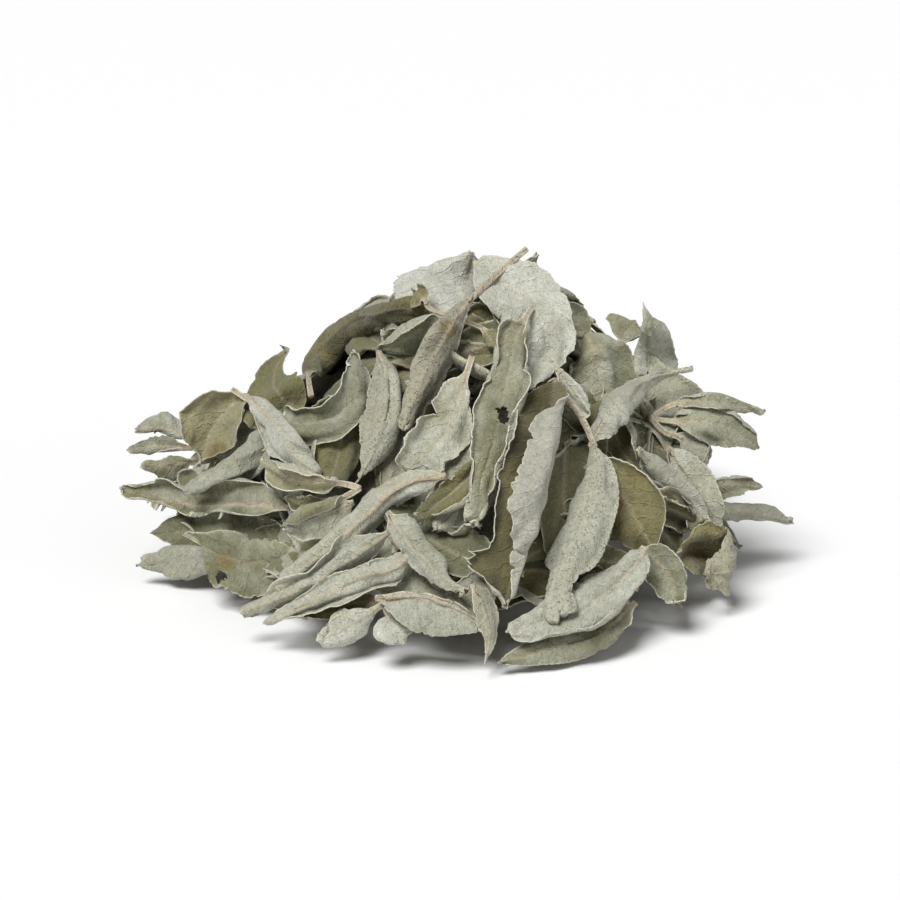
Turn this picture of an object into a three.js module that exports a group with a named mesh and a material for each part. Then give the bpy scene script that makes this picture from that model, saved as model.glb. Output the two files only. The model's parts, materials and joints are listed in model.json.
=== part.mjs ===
// A loose heap of dried white sage leaves, in millimetres, with +Z up and the heap's front towards -Y.
// Each leaf is a thin felted blade on a rib curve. Leaves are laid on the heap one after another, each
// from one side, and a leaf that would cross the ones already there bends out over them.
import * as THREE from "three";

// Driving dimensions.
const HEAP = { halfWidth: 105, halfDepth: 92, height: 96, fall: 1.7 };
const BLADE = 0.7; // thickness of a dried leaf
const STALK_HALF_WIDTH = 1.4;
const TIP_HALF_WIDTH = 1.1;
const CLEARANCE = 1.35; // least distance between the middle surfaces of two leaves
const BEND_SLOPE = 0.9; // how steeply a leaf may bend out, in mm for each mm along it
const HUB_ROOM = 1.6; // how much larger a sprig's knob is than its stalks need to stand side by side
const BEND_ROOM = 0.8; // how much of the inside of a sideways bend a blade may fill
const UNCURLED = { lone: 0.25, sprig: 0.35 }; // share of its length over which a leaf starts to curl
const CLOSE = 1.2; // points nearer to each other than this face much the same way
const CURL_ROOM = 2.2; // how much thicker a blade counts as where it curls

// The front leaves are traced in the picture plane of one viewpoint, in pixels from its top left corner.
const VIEWPOINT = { distance: 833, elevation: 20, centre: [450, 450], pixelsPerMm: 3 };
const VIEW_AIM = { across: -1.67, up: 38.33 }; // where the middle of the picture lies, from the heap's foot

// Grid of each kind of blade: how long its cells are, and how far one of them turns across each half.
const CELL_LENGTH = 9.5;
const ROWS = { least: 4, most: 9, sprig: 5 };
const CURL_PER_CELL = 75;
const HALF_CELLS = { least: 2, most: 3 };

const FINISHES = {
  pale: { color: 0xc4c8bc, roughness: 0.95, metalness: 0 },
  grey: { color: 0xa9aea2, roughness: 0.95, metalness: 0 },
  sage: { color: 0x9fa38a, roughness: 0.95, metalness: 0 },
  ochre: { color: 0x8f8a66, roughness: 0.94, metalness: 0 },
  olive: { color: 0x75704a, roughness: 0.92, metalness: 0 },
  brown: { color: 0x6b5334, roughness: 0.9, metalness: 0 },
};

const rad = THREE.MathUtils.degToRad;
const deg = THREE.MathUtils.radToDeg;
const lerp = THREE.MathUtils.lerp;

// Seeded draws, so that the heap is the same each time.
function seededDraw(seed) {
  let state = seed;
  return (low = 0, high = 1) => {
    state = (state + 0x6d2b79f5) | 0;
    let t = Math.imul(state ^ (state >>> 15), 1 | state);
    t = (t + Math.imul(t ^ (t >>> 7), 61 | t)) ^ t;
    return low + ((t ^ (t >>> 14)) >>> 0) / 4294967296 * (high - low);
  };
}

// Height of the heap's ideal surface over the floor. It falls below zero outside the heap's foot.
function heapHeight(x, y) {
  const share = Math.hypot(x / HEAP.halfWidth, y / HEAP.halfDepth);
  return HEAP.height * (1 - share ** HEAP.fall);
}

// How near laid leaves come to the eye, over a picture plane in mm.
class DepthMap {
  static CELL = 0.7;
  static HALF = 170;
  static SIZE = Math.ceil((2 * DepthMap.HALF) / DepthMap.CELL);
  static EMPTY = -1e6;

  constructor() {
    this.nearest = new Float32Array(DepthMap.SIZE * DepthMap.SIZE).fill(DepthMap.EMPTY);
  }

  clear() {
    this.nearest.fill(DepthMap.EMPTY);
  }

  static cellAt(distance) {
    return Math.round((distance + DepthMap.HALF) / DepthMap.CELL);
  }

  // How near the leaves come at (x, y), with their clearance.
  cover(x, y) {
    return this.nearest[DepthMap.cellAt(y) * DepthMap.SIZE + DepthMap.cellAt(x)];
  }

  // Adds a point of a leaf, as a ball of the clearance radius.
  add(x, y, near) {
    const reach = Math.ceil(CLEARANCE / DepthMap.CELL);
    const [column, row] = [DepthMap.cellAt(x), DepthMap.cellAt(y)];
    for (let r = row - reach; r <= row + reach; r += 1) {
      for (let c = column - reach; c <= column + reach; c += 1) {
        const dx = c * DepthMap.CELL - DepthMap.HALF - x;
        const dy = r * DepthMap.CELL - DepthMap.HALF - y;
        const left = CLEARANCE ** 2 - dx * dx - dy * dy;
        if (left < 0) continue;
        const index = r * DepthMap.SIZE + c;
        this.nearest[index] = Math.max(this.nearest[index], near + Math.sqrt(left));
      }
    }
  }
}

// A side that leaves are laid from: a picture plane, with a map of the leaves laid so far.
class Side {
  constructor(azimuth, elevation, aim = { across: 0, up: 38 }) {
    const a = rad(azimuth);
    const e = rad(elevation);
    this.across = new THREE.Vector3(Math.cos(a), Math.sin(a), 0);
    this.toEye = new THREE.Vector3(Math.sin(a) * Math.cos(e), -Math.cos(a) * Math.cos(e), Math.sin(e));
    this.up = new THREE.Vector3().crossVectors(this.toEye, this.across);
    this.aim = this.across.clone().multiplyScalar(aim.across).addScaledVector(this.up, aim.up);
    this.eye = this.aim.clone().addScaledVector(this.toEye, VIEWPOINT.distance);
    this.laid = new DepthMap();
  }

  // The point that shows at (x, y) mm in the picture and lies the given distance in front of its plane.
  point(x, y, near) {
    const scale = (VIEWPOINT.distance - near) / VIEWPOINT.distance;
    return this.aim.clone().addScaledVector(this.toEye, near)
      .addScaledVector(this.across, x * scale).addScaledVector(this.up, y * scale);
  }

  // The reverse: where a point shows, and how near it is.
  see(point) {
    const offset = point.clone().sub(this.aim);
    const near = offset.dot(this.toEye);
    const scale = (VIEWPOINT.distance - near) / VIEWPOINT.distance;
    return { x: offset.dot(this.across) / scale, y: offset.dot(this.up) / scale, near };
  }

  // How near the heap's ideal surface or the floor is at (x, y), or where the line of sight passes
  // closest to it.
  surfaceNear(x, y) {
    let closest = { gap: Infinity, near: 0 };
    for (let near = 150; near > -150; near -= 1) {
      const p = this.point(x, y, near);
      const gap = p.z - heapHeight(p.x, p.y);
      if (gap < closest.gap) closest = { gap, near };
      if (gap <= 0 || p.z <= 0) return near;
    }
    return closest.near;
  }
}

const front = new Side(0, VIEWPOINT.elevation, VIEW_AIM);
const SIDES = {
  front,
  top: new Side(0, 80),
  back: new Side(180, 32),
  backLeft: new Side(225, 30),
  backRight: new Side(135, 30),
  left: new Side(275, 28),
  right: new Side(85, 28),
  crown: new Side(180, 62),
};

// Half width of a leaf at a share of its length: a stalk, then a lance-shaped blade that ends at its tip.
function halfWidth(leaf, share, half) {
  const stalk = leaf.stalk ?? 0.12;
  if (share <= stalk) return STALK_HALF_WIDTH;
  const [from, to] = leaf.span ?? [0.03, 1];
  const along = lerp(from, to, (share - stalk) / (1 - stalk));
  const lance = Math.max(0, Math.sin(Math.PI * along ** (leaf.skew ?? 0.85))) ** 0.7;
  const least = lerp(STALK_HALF_WIDTH, TIP_HALF_WIDTH, share);
  return Math.max(least, half * lance);
}

// Sideways and upward reach of a cross-section that starts flat at the rib and turns as it goes out.
function curledReach(distance, width, curl) {
  const steps = 12;
  let side = 0;
  let rise = 0;
  for (let k = 0; k < steps; k += 1) {
    const angle = rad(curl) * ((k + 0.5) / steps) * (distance / width);
    side += Math.cos(angle) * distance / steps;
    rise += Math.sin(angle) * distance / steps;
  }
  return [side, rise];
}

// Where each row of a leaf's points stands on its rib, and the directions that it spreads in.
function rowFrames(leaf, side, rows) {
  const rib = new THREE.CatmullRomCurve3(leaf.rib, false, "centripetal");
  const [turnBase, turnTip] = leaf.turn ?? [0, 0];
  return Array.from({ length: rows + 1 }, (_, i) => {
    const centre = rib.getPointAt(i / rows);
    const along = rib.getTangentAt(i / rows);
    const facing = leaf.upright
      ? new THREE.Vector3(0, 0, 1).cross(along)
      : side.eye.clone().sub(centre).normalize();
    if (leaf.knob) facing.lerp(leaf.knob.facing, Math.max(0, 1 - i / rows / UNCURLED.sprig));
    facing.addScaledVector(along, -facing.dot(along)).normalize();
    facing.applyAxisAngle(along, rad(lerp(turnBase, turnTip, i / rows)));
    return { centre, along, facing, right: new THREE.Vector3().crossVectors(along, facing) };
  });
}

// The most that a row may reach sideways: less than the radius of the rib's bend on that side, and on a
// sprig no more than its share of the room round the knob.
function widest(leaf, frames, i, way) {
  let most = Infinity;
  for (const k of [Math.max(0, i - 1), Math.min(i, frames.length - 2)]) {
    const [from, to] = [frames[k], frames[k + 1]];
    const bend = to.along.clone().sub(from.along).dot(frames[i].right) * way;
    if (bend > 0) most = Math.min(most, BEND_ROOM * from.centre.distanceTo(to.centre) / bend);
  }
  if (leaf.knob) {
    const out = frames[i].centre.distanceTo(leaf.knob.centre);
    if (out < leaf.knob.room) most = Math.min(most, out * leaf.knob.share);
  }
  return Math.max(most, STALK_HALF_WIDTH);
}

// The most that a half may curl, in degrees, before its inner face would fold over itself.
function mostCurl(width, halfCells) {
  return halfCells * 2 * deg(Math.atan(width / halfCells / (CURL_ROOM * BLADE)));
}

// The middle surface of one leaf, as rows of points from its stalk to its tip.
function bladePoints(leaf, side, rows, halfCells) {
  const frames = rowFrames(leaf, side, rows);
  const curls = leaf.curl ?? [-30, -30];
  const [curlBase, curlTip] = leaf.curlEnds ?? [1, 1];
  const wave = leaf.wave ?? 0.8;
  const uncurled = leaf.knob ? UNCURLED.sprig : UNCURLED.lone;
  const points = [];
  frames.forEach(({ centre, facing, right }, i) => {
    const share = i / rows;
    const row = [];
    for (let j = -halfCells; j <= halfCells; j += 1) {
      const way = j < 0 ? 0 : 1;
      const half = leaf.width[way];
      const edge = Math.abs(j) / halfCells;
      const ripple = 1 + 0.07 * Math.sin(7.3 * i + 2.1 * half) * edge;
      const room = widest(leaf, frames, i, way ? 1 : -1);
      const width = Math.min(halfWidth(leaf, share, half) * ripple, room);
      const limit = mostCurl(width, halfCells);
      const curled = curls[way] * lerp(curlBase, curlTip, share) * Math.min(1, share / uncurled);
      const curl = THREE.MathUtils.clamp(curled, -limit, limit);
      const [out, rise] = curledReach(edge * width, width, curl);
      const phase = 2.4 * i + 1.7 * half + (way ? 0 : 2);
      const flutter = wave * edge * edge * Math.sin(phase) * (width / half);
      const point = centre.clone().addScaledVector(right, Math.sign(j) * out);
      row.push(point.addScaledVector(facing, rise + flutter));
    }
    const short = BLADE / 2 - Math.min(...row.map((p) => p.z));
    for (const p of row) p.z += Math.max(0, short);
    points.push(...row);
  });
  return points;
}

// Cells across each half of a blade, more where it is rolled.
function halfCellsFor(leaf) {
  const most = Math.max(...leaf.curl.map(Math.abs));
  return THREE.MathUtils.clamp(Math.ceil(most / CURL_PER_CELL), HALF_CELLS.least, HALF_CELLS.most);
}

function rowsFor(leaf) {
  const length = new THREE.CatmullRomCurve3(leaf.rib, false, "centripetal").getLength();
  return THREE.MathUtils.clamp(Math.round(length / CELL_LENGTH), ROWS.least, ROWS.most);
}

// An open sheet: its points, and the triangles of each of its parts.
function loneSheet(leaf, side) {
  const halfCells = halfCellsFor(leaf);
  const rows = rowsFor(leaf);
  const points = bladePoints(leaf, side, rows, halfCells);
  return { points, parts: [gridTriangles(rows, 2 * halfCells, 0)] };
}

// How a sprig's stalks stand side by side on its knob: the knob's radius, how far out the leaves still
// keep to their own share of the room, and how wide that share is for each mm out.
function knobFor(headings) {
  const gaps = headings.slice(1).map((heading, k) => Math.abs(heading - headings[k]));
  const share = Math.tan(rad(Math.min(...gaps) / 2)) / HUB_ROOM;
  const radius = STALK_HALF_WIDTH / share;
  return { radius, room: 2 * radius, share };
}

// The way that a knob faces, square to the stalks that start round it.
function knobFacing(sprig) {
  const stalks = sprig.leaves.map((leaf) => leaf.rib[0].clone().sub(sprig.knob.centre));
  const facing = new THREE.Vector3();
  stalks.slice(1).forEach((stalk, k) => facing.add(stalks[k].clone().cross(stalk)));
  if (sprig.allRound) facing.add(stalks.at(-1).clone().cross(stalks[0]));
  return facing.normalize();
}

// A sprig: leaves whose stalks meet in one flat knob. They stand all round it, or on one side of it.
function sprigSheet(sprig, side) {
  sprig.knob.facing = knobFacing(sprig);
  const cells = 4;
  const perLeaf = (ROWS.sprig + 1) * (cells + 1);
  const sheet = { points: [], parts: [], knob: sprig.knob, perLeaf };
  const ring = [];
  sprig.leaves.forEach((leaf, n) => {
    const start = n * perLeaf;
    sheet.points.push(...bladePoints({ ...leaf, knob: sprig.knob }, side, ROWS.sprig, cells / 2));
    sheet.parts.push(gridTriangles(ROWS.sprig, cells, start));
    for (let j = cells; j >= 0; j -= 1) ring.push(start + j);
  });
  const middle = sheet.points.length;
  sheet.points.push(sprig.knob.centre.clone());
  const fan = ring.map((index, k) => [middle, index, ring[(k + 1) % ring.length]]);
  sheet.parts.push(sprig.allRound ? fan : fan.slice(0, -1));
  return sheet;
}

function gridTriangles(rows, cells, start) {
  const triangles = [];
  for (let i = 0; i < rows; i += 1) {
    for (let j = 0; j < cells; j += 1) {
      const a = start + i * (cells + 1) + j;
      const b = a + cells + 1;
      triangles.push([a, a + 1, b + 1], [a, b + 1, b]);
    }
  }
  return triangles;
}

// Points spread over triangles, each as three corners and their weights, and whether it is at the knob.
function spread(triangles, points, spacing, knob) {
  const samples = [];
  for (const [a, b, c] of triangles) {
    const [pa, pb, pc] = [a, b, c].map((k) => points[k]);
    const longest = Math.max(pa.distanceTo(pb), pb.distanceTo(pc), pc.distanceTo(pa));
    const steps = Math.max(1, Math.ceil(longest / spacing));
    for (let i = 0; i <= steps; i += 1) {
      for (let j = 0; j <= steps - i; j += 1) {
        const sample = { corners: [a, b, c], weights: [i / steps, j / steps, (steps - i - j) / steps] };
        const out = knob ? sampleAt(points, sample).distanceTo(knob.centre) : Infinity;
        samples.push({ ...sample, atKnob: knob !== undefined && out < knob.room });
      }
    }
  }
  return samples;
}

function sampleAt(points, { corners, weights }) {
  const point = new THREE.Vector3();
  corners.forEach((corner, k) => point.addScaledVector(points[corner], weights[k]));
  return point;
}

// How far apart two points of a sheet lie along it. Out from a sprig's knob, the way between two of its
// leaves is by the knob.
function apart(sheet, rest, k, l) {
  const direct = rest[k].distanceTo(rest[l]);
  if (!sheet.knob || Math.floor(k / sheet.perLeaf) === Math.floor(l / sheet.perLeaf)) return direct;
  const [out, otherOut] = [k, l].map((index) => rest[index].distanceTo(sheet.knob.centre));
  return Math.max(out, otherOut) < sheet.knob.room ? direct : out + otherOut;
}

// Spreads what some points must move out over their neighbours, so that the sheet bends gently.
function gentleBend(moves, distances) {
  return distances.map((row) => {
    let most = 0;
    moves.forEach((move, k) => {
      most = Math.max(most, move - BEND_SLOPE * row[k]);
    });
    return most;
  });
}

// How far a sheet's points must still move out to clear the leaves laid before it and, on a sprig, the
// leaves listed before their own.
function stillToMove(sheet, side, samples, siblings, moves) {
  const wanted = moves.slice();
  let worst = 0;
  siblings.clear();
  for (const part of samples) {
    const seen = [];
    for (const sample of part) {
      const { x, y, near } = side.see(sampleAt(sheet.points, sample));
      const over = sample.atKnob ? DepthMap.EMPTY : siblings.cover(x, y);
      const short = Math.max(side.laid.cover(x, y), over) - near;
      if (!sample.atKnob) seen.push([x, y, near]);
      if (short <= 0.02) continue;
      worst = Math.max(worst, short);
      sample.corners.forEach((corner, k) => {
        if (sample.weights[k] > 0.15) wanted[corner] = Math.max(wanted[corner], moves[corner] + short);
      });
    }
    for (const place of seen) siblings.add(...place);
  }
  return worst > 0 ? wanted : null;
}

// Bends a sheet out towards the eye until it clears the leaves laid before it, then adds it to every map.
function laySheet(sheet, side) {
  const samples = sheet.parts.map((part) => spread(part, sheet.points, 0.9, sheet.knob));
  const places = sheet.points.map((p) => side.see(p));
  const rest = sheet.points.map((p) => p.clone());
  const distances = rest.map((_, k) => rest.map((__, l) => apart(sheet, rest, k, l)));
  const siblings = new DepthMap();
  let moves = places.map(() => 0);
  for (let round = 0; round < 60; round += 1) {
    const wanted = stillToMove(sheet, side, samples, siblings, moves);
    if (!wanted) break;
    moves = gentleBend(wanted, distances);
    places.forEach(({ x, y, near }, k) => sheet.points[k].copy(side.point(x, y, near + moves[k])));
  }
  for (const sample of spread(sheet.parts.flat(), sheet.points, 0.5)) {
    const p = sampleAt(sheet.points, sample);
    for (const every of Object.values(SIDES)) {
      const { x, y, near } = every.see(p);
      every.laid.add(x, y, near);
    }
  }
}

// The direction that a sheet faces at each point, evened out between points that lie close together.
function facings(points, triangles) {
  let normals = points.map(() => new THREE.Vector3());
  for (const [a, b, c] of triangles) {
    const area = points[b].clone().sub(points[a]).cross(points[c].clone().sub(points[a]));
    for (const k of [a, b, c]) normals[k].add(area);
  }
  for (let round = 0; round < 3; round += 1) {
    const evened = normals.map((n) => n.clone());
    for (const [a, b, c] of triangles) {
      for (const [from, to] of [[a, b], [b, c], [c, a], [b, a], [c, b], [a, c]]) {
        const gap = points[from].distanceTo(points[to]);
        evened[to].addScaledVector(normals[from], Math.exp(-((gap / CLOSE) ** 2)));
      }
    }
    normals = evened;
  }
  return normals.map((n) => n.normalize());
}

// A closed solid from a sheet: its two faces split alike, and a wall round its open edge.
function thicken(sheet) {
  const triangles = sheet.parts.flat();
  const normals = facings(sheet.points, triangles);
  const count = sheet.points.length;
  const positions = [];
  for (const way of [1, -1]) {
    sheet.points.forEach((p, k) => {
      const q = p.clone().addScaledVector(normals[k], way * BLADE / 2);
      q.z = q.z < 0.03 ? 0 : q.z;
      positions.push(q.x, q.y, q.z);
    });
  }
  const index = [];
  const edges = new Map();
  for (const [a, b, c] of triangles) {
    index.push(a, b, c, c + count, b + count, a + count);
    for (const [from, to] of [[a, b], [b, c], [c, a]]) {
      if (!edges.delete(`${to} ${from}`)) edges.set(`${from} ${to}`, [from, to]);
    }
  }
  for (const [from, to] of edges.values()) {
    index.push(to, from, from + count, to, from + count, to + count);
  }
  return new THREE.BufferGeometry()
    .setAttribute("position", new THREE.BufferAttribute(new Float32Array(positions), 3))
    .setIndex(index);
}

// Turns a traced rib, in pixels, into points. It has its distances in mm either over the heap's surface, as
// lift, or in front of the picture plane, as near, at places spread evenly along it.
function tracedRib(trace, { lift = 0, near }) {
  const given = [near ?? lift].flat();
  return trace.map(([px, py], k) => {
    const x = (px - VIEWPOINT.centre[0]) / VIEWPOINT.pixelsPerMm;
    const y = (VIEWPOINT.centre[1] - py) / VIEWPOINT.pixelsPerMm;
    const share = k / (trace.length - 1);
    const distance = given[Math.round(share * (given.length - 1))];
    return front.point(x, y, near ? distance : front.surfaceNear(x, y) + distance);
  });
}

// The front of the heap, from what lies deepest to what lies on top. A lone leaf has a trace, which is its
// rib from stalk to tip; a sprig has a hub and its leaves' traces, in turn round the hub. lift is over the
// heap's surface. width and curl are of the left and right half, and a positive curl turns the edge to the
// eye. stalk is the stalk's share of the length, and span the part of a lance's outline that the blade has.
const FRONT = [
  { name: "leaf_back_round", finish: "pale", trace: [[472, 252], [468, 275], [460, 305], [450, 340]],
    lift: [-8, -8, -6, -10], width: [7, 23], curl: [-90, -30], stalk: 0.06, span: [0.16, 0.9] },
  { name: "leaf_back_left", finish: "sage", trace: [[294, 425], [284, 402], [273, 376], [285, 345]],
    lift: -6, width: [14, 10], curl: [-25, 15], stalk: 0.05 },
  { name: "sprig_right_back", finish: "grey", hub: [614, 350], near: [0, 3, 3, 3], leaves: [
    { trace: [[622, 340], [634, 321]], width: [8, 5], curl: [-30, -20] },
    { trace: [[580, 322], [554, 314], [520, 312]], width: [7, 7], curl: [40, 20], stalk: 0.25 }] },
  { name: "leaf_right_tall", finish: "pale",
    trace: [[682, 480], [662, 438], [646, 402], [645, 362], [648, 330], [643, 302]],
    lift: [-4, -4, -4, -6, -6, -4], width: [5, 10], curl: [-60, -15], stalk: 0.2 },
  { name: "leaf_creamy_broad", finish: "pale", trace: [[586, 334], [598, 362], [602, 398], [594, 434]],
    lift: [-8, -4, -4, -8], width: [13, 12], curl: [-30, -35], stalk: 0.04, span: [0.1, 0.97] },
  { name: "sprig_right_upper", finish: "sage", hub: [650, 418], near: [-14, -10, -4, 0, 2], leaves: [
    { trace: [[664, 432], [684, 440], [694, 462], [702, 490]], width: [7, 7], curl: [-30, -30] },
    { trace: [[670, 421], [705, 423], [735, 431], [757, 448]], width: [7, 8], curl: [-60, -80] },
    { trace: [[665, 408], [700, 402], [732, 406], [762, 411]], width: [5, 4], curl: [40, 40] }] },
  { name: "sprig_right_low", finish: "sage", hub: [668, 496], near: [0, 2, 4, 5, 6], leaves: [
    { trace: [[682, 501], [720, 508], [760, 514], [793, 523]], width: [5.5, 4.5], curl: [-60, -30] },
    { trace: [[682, 491], [705, 488], [735, 483], [762, 487]], width: [3, 3.5], curl: [-20, -30] }] },
  { name: "sprig_far_left", finish: "grey", hub: [216, 452], near: [-12, -8, -4, 0, 2], leaves: [
    { trace: [[207, 441], [180, 433], [160, 425], [137, 430]], width: [4.5, 5], curl: [-30, -60] },
    { trace: [[200, 449], [175, 447], [150, 446], [127, 450]], width: [4, 4.5], curl: [-80, -60] },
    { trace: [[202, 460], [182, 463], [160, 467], [144, 464]], width: [5, 4], curl: [-20, -30] },
    { trace: [[211, 466], [197, 479], [188, 494]], width: [6, 6], curl: [-40, -30] }] },
  { name: "leaf_ochre_fold", finish: "ochre", trace: [[250, 396], [226, 410], [211, 432], [199, 466]],
    near: [7, 7, 5, 4], width: [11, 11], curl: [35, 45], stalk: 0.1 },
  { name: "leaf_under_swirl", finish: "sage", trace: [[352, 410], [342, 440], [330, 484]],
    lift: [-6, -3, -1], width: [10, 10], curl: [-25, -25], stalk: 0.08, span: [0.1, 0.92] },
  { name: "sprig_left_low", finish: "grey", hub: [302, 549], near: [30, 29, 26, 23, 18], leaves: [
    { trace: [[282, 541], [245, 533], [200, 531], [150, 533]], width: [7, 7], curl: [-45, -35] },
    { trace: [[280, 556], [228, 561], [182, 562], [138, 565]],
      width: [5, 5], curl: [-25, -30], stalk: 0.45 }] },
  { name: "leaf_trough_left", finish: "sage",
    trace: [[290, 508], [245, 504], [200, 506], [160, 498], [121, 489]],
    near: [30, 28, 24, 20, 16], width: [7, 9], curl: [75, 85], turn: [25, 25], stalk: 0.05,
    span: [0.1, 0.96] },
  { name: "leaf_diagonal_rolled", finish: "grey", trace: [[292, 430], [252, 452], [216, 470], [186, 491]],
    near: [30, 26, 20, 16], width: [10, 9], curl: [-100, -95], stalk: 0.06, span: [0.14, 0.97] },
  { name: "leaf_arched", finish: "olive",
    trace: [[311, 396], [309, 372], [321, 347], [350, 322], [388, 311], [434, 306]],
    lift: [-2, 0, 4, 6, 4, 0], width: [7, 7], curl: [-60, -45], turn: [0, -25], stalk: 0.14,
    span: [0.05, 0.9] },
  { name: "leaf_swirl", finish: "grey",
    trace: [[232, 389], [260, 407], [296, 423], [334, 417], [356, 392], [353, 350]],
    lift: [4, 4, 3, 3, 2, -2], width: [6.5, 8], curl: [60, -50], stalk: 0.34 },
  { name: "leaf_swirl_roll", finish: "grey", trace: [[246, 396], [270, 418], [291, 446], [313, 477]],
    lift: [4, 3, 3, 2], width: [7, 8], curl: [-105, -100], stalk: 0.12, span: [0.05, 0.9] },
  { name: "leaf_big_pale", finish: "pale",
    trace: [[474, 262], [492, 280], [522, 298], [546, 326], [542, 362], [512, 394]],
    lift: [-6, -2, 0, 2, 1, -2], width: [9, 12], curl: [-35, -30], stalk: 0.04, span: [0.12, 0.97] },
  { name: "sprig_short_stalk", finish: "sage", hub: [456, 317], lift: [-2, 0, 1, 0], leaves: [
    { trace: [[440, 312], [426, 300], [412, 290]], width: [3, 3], curl: [-20, -20] },
    { trace: [[436, 321], [415, 327], [384, 333]], width: [1.5, 1.5], curl: [-20, -20] },
    { trace: [[470, 323], [484, 330], [496, 348]], width: [5, 6], curl: [-30, -20] }] },
  { name: "leaf_left_wing", finish: "pale", trace: [[452, 320], [425, 331], [400, 342], [378, 350]],
    lift: [1, 2, 2, 1], width: [6, 5], curl: [-90, -20], stalk: 0.05, span: [0.1, 1] },
  { name: "leaf_speckled", finish: "sage",
    trace: [[379, 352], [388, 385], [385, 420], [372, 455], [355, 486]],
    lift: [0, 1, 1, 0, -2], width: [7, 7.5], curl: [-60, -50], stalk: 0.03, span: [0.08, 1] },
  { name: "leaf_long_stalk", finish: "brown",
    trace: [[527, 249], [500, 272], [475, 295], [456, 318], [440, 346], [425, 376], [412, 405], [403, 432]],
    lift: [2, 3, 3, 3, 3, 2, 1, 0], width: [9, 9], curl: [-85, -85], stalk: 0.4, span: [0.05, 0.9] },
  { name: "sprig_yellow_edge", finish: "sage", hub: [360, 488], lift: [-6, -3, 0, 1], leaves: [
    { trace: [[345, 484], [320, 482], [290, 475], [264, 460]], width: [4, 4.5], curl: [-30, 20] },
    { trace: [[343, 498], [316, 506], [284, 497]], width: [4, 4], curl: [-30, -30] }] },
  { name: "leaf_notched", finish: "pale",
    trace: [[472, 356], [462, 388], [450, 420], [432, 452], [412, 482]],
    lift: [0, 1, 2, 1, 0], width: [9, 12], curl: [-20, 15], stalk: 0.06, span: [0.03, 0.85], skew: 1.7 },
  { name: "leaf_two_lobed", finish: "sage", trace: [[354, 502], [322, 515], [284, 529]],
    lift: [-1, 1, 1], width: [6.5, 6], curl: [-30, 50], stalk: 0.05, span: [0.06, 0.93] },
  { name: "leaf_hole", finish: "sage", trace: [[302, 560], [264, 562], [228, 558], [198, 543]],
    near: [50, 46, 40, 36], width: [14, 11], curl: [-30, -25], stalk: 0.04, span: [0.08, 0.93] },
  { name: "leaf_pale_under", finish: "pale", trace: [[480, 470], [466, 500], [438, 530]],
    lift: [-5, -3, -2], width: [8, 8], curl: [-30, -20], stalk: 0.05, span: [0.06, 0.95] },
  { name: "leaf_dark_brown", finish: "sage", trace: [[482, 456], [456, 490], [416, 518]],
    lift: [-3, 0, 0], width: [6.5, 6], curl: [-60, -50], stalk: 0.05, span: [0.06, 0.96] },
  { name: "leaf_long_midrib", finish: "pale",
    trace: [[446, 476], [406, 484], [370, 512], [335, 545], [302, 571], [279, 588]],
    lift: [1, 2, 2, 2, 1, 0], width: [6.5, 7], curl: [-60, -60], stalk: 0.03, span: [0.06, 0.95] },
  { name: "leaf_cream_edge", finish: "olive", trace: [[388, 603], [342, 604], [300, 617]],
    lift: [-6, -4, -2], width: [5, 5], curl: [20, 30], stalk: 0.05 },
  { name: "leaf_tube_left", finish: "grey",
    trace: [[388, 532], [350, 560], [310, 585], [270, 602], [242, 612]],
    lift: [-1, 0, 1, 1, 2], width: [6.5, 6.5], curl: [-125, -110], stalk: 0.03, span: [0.08, 0.94] },
  { name: "leaf_tube_low", finish: "grey",
    trace: [[414, 548], [396, 568], [360, 578], [325, 595], [292, 610], [264, 623]],
    lift: [0, 1, 2, 2, 2, 2], width: [6, 6], curl: [-125, -100], stalk: 0.04, span: [0.05, 0.95] },
  { name: "sprig_front_left", finish: "pale", hub: [384, 604], lift: [-2, -1, 0, 0], leaves: [
    { trace: [[370, 612], [346, 626], [317, 640]], width: [8, 6], curl: [-45, -20] },
    { trace: [[388, 614], [396, 630], [404, 644]], width: [6, 7], curl: [-30, 20] }] },
  { name: "leaf_front_midrib", finish: "grey", trace: [[376, 598], [420, 597], [455, 608], [490, 627]],
    lift: [2, 3, 3, 2], width: [3, 11], curl: [60, -20], stalk: 0.05, span: [0.08, 1] },
  { name: "leaf_flat_felt", finish: "grey", trace: [[388, 512], [408, 542], [432, 567], [466, 596]],
    lift: [3, 4, 4, 3], width: [6.5, 5.5], curl: [-15, -20], stalk: 0.02, span: [0.16, 0.9] },
  { name: "leaf_tall_rolled", finish: "sage",
    trace: [[532, 307], [514, 342], [506, 385], [497, 425], [487, 460], [477, 498], [474, 527]],
    lift: [3, 3, 3, 3, 3, 2, 1], width: [8, 8], curl: [-90, -80], stalk: 0.16, span: [0.04, 0.96] },
  { name: "leaf_wavy_trough", finish: "sage", trace: [[604, 394], [612, 425], [622, 452], [648, 476]],
    lift: [-5, -3, -2, 0], width: [9, 9], curl: [70, 30], stalk: 0.05 },
  { name: "leaf_diagonal_right", finish: "grey",
    trace: [[590, 447], [604, 420], [626, 394], [658, 376], [691, 368]],
    lift: [0, 1, 1, 1, 1], width: [7, 8], curl: [-60, -60], stalk: 0.05 },
  { name: "leaf_broad_light", finish: "pale", trace: [[668, 448], [692, 480], [710, 508], [719, 533]],
    lift: [-4, -2, -1, -1], width: [7, 5], curl: [-30, -30], stalk: 0.05 },
  { name: "leaf_smooth_tube", finish: "pale", trace: [[637, 448], [665, 474], [690, 500], [712, 528]],
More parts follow.
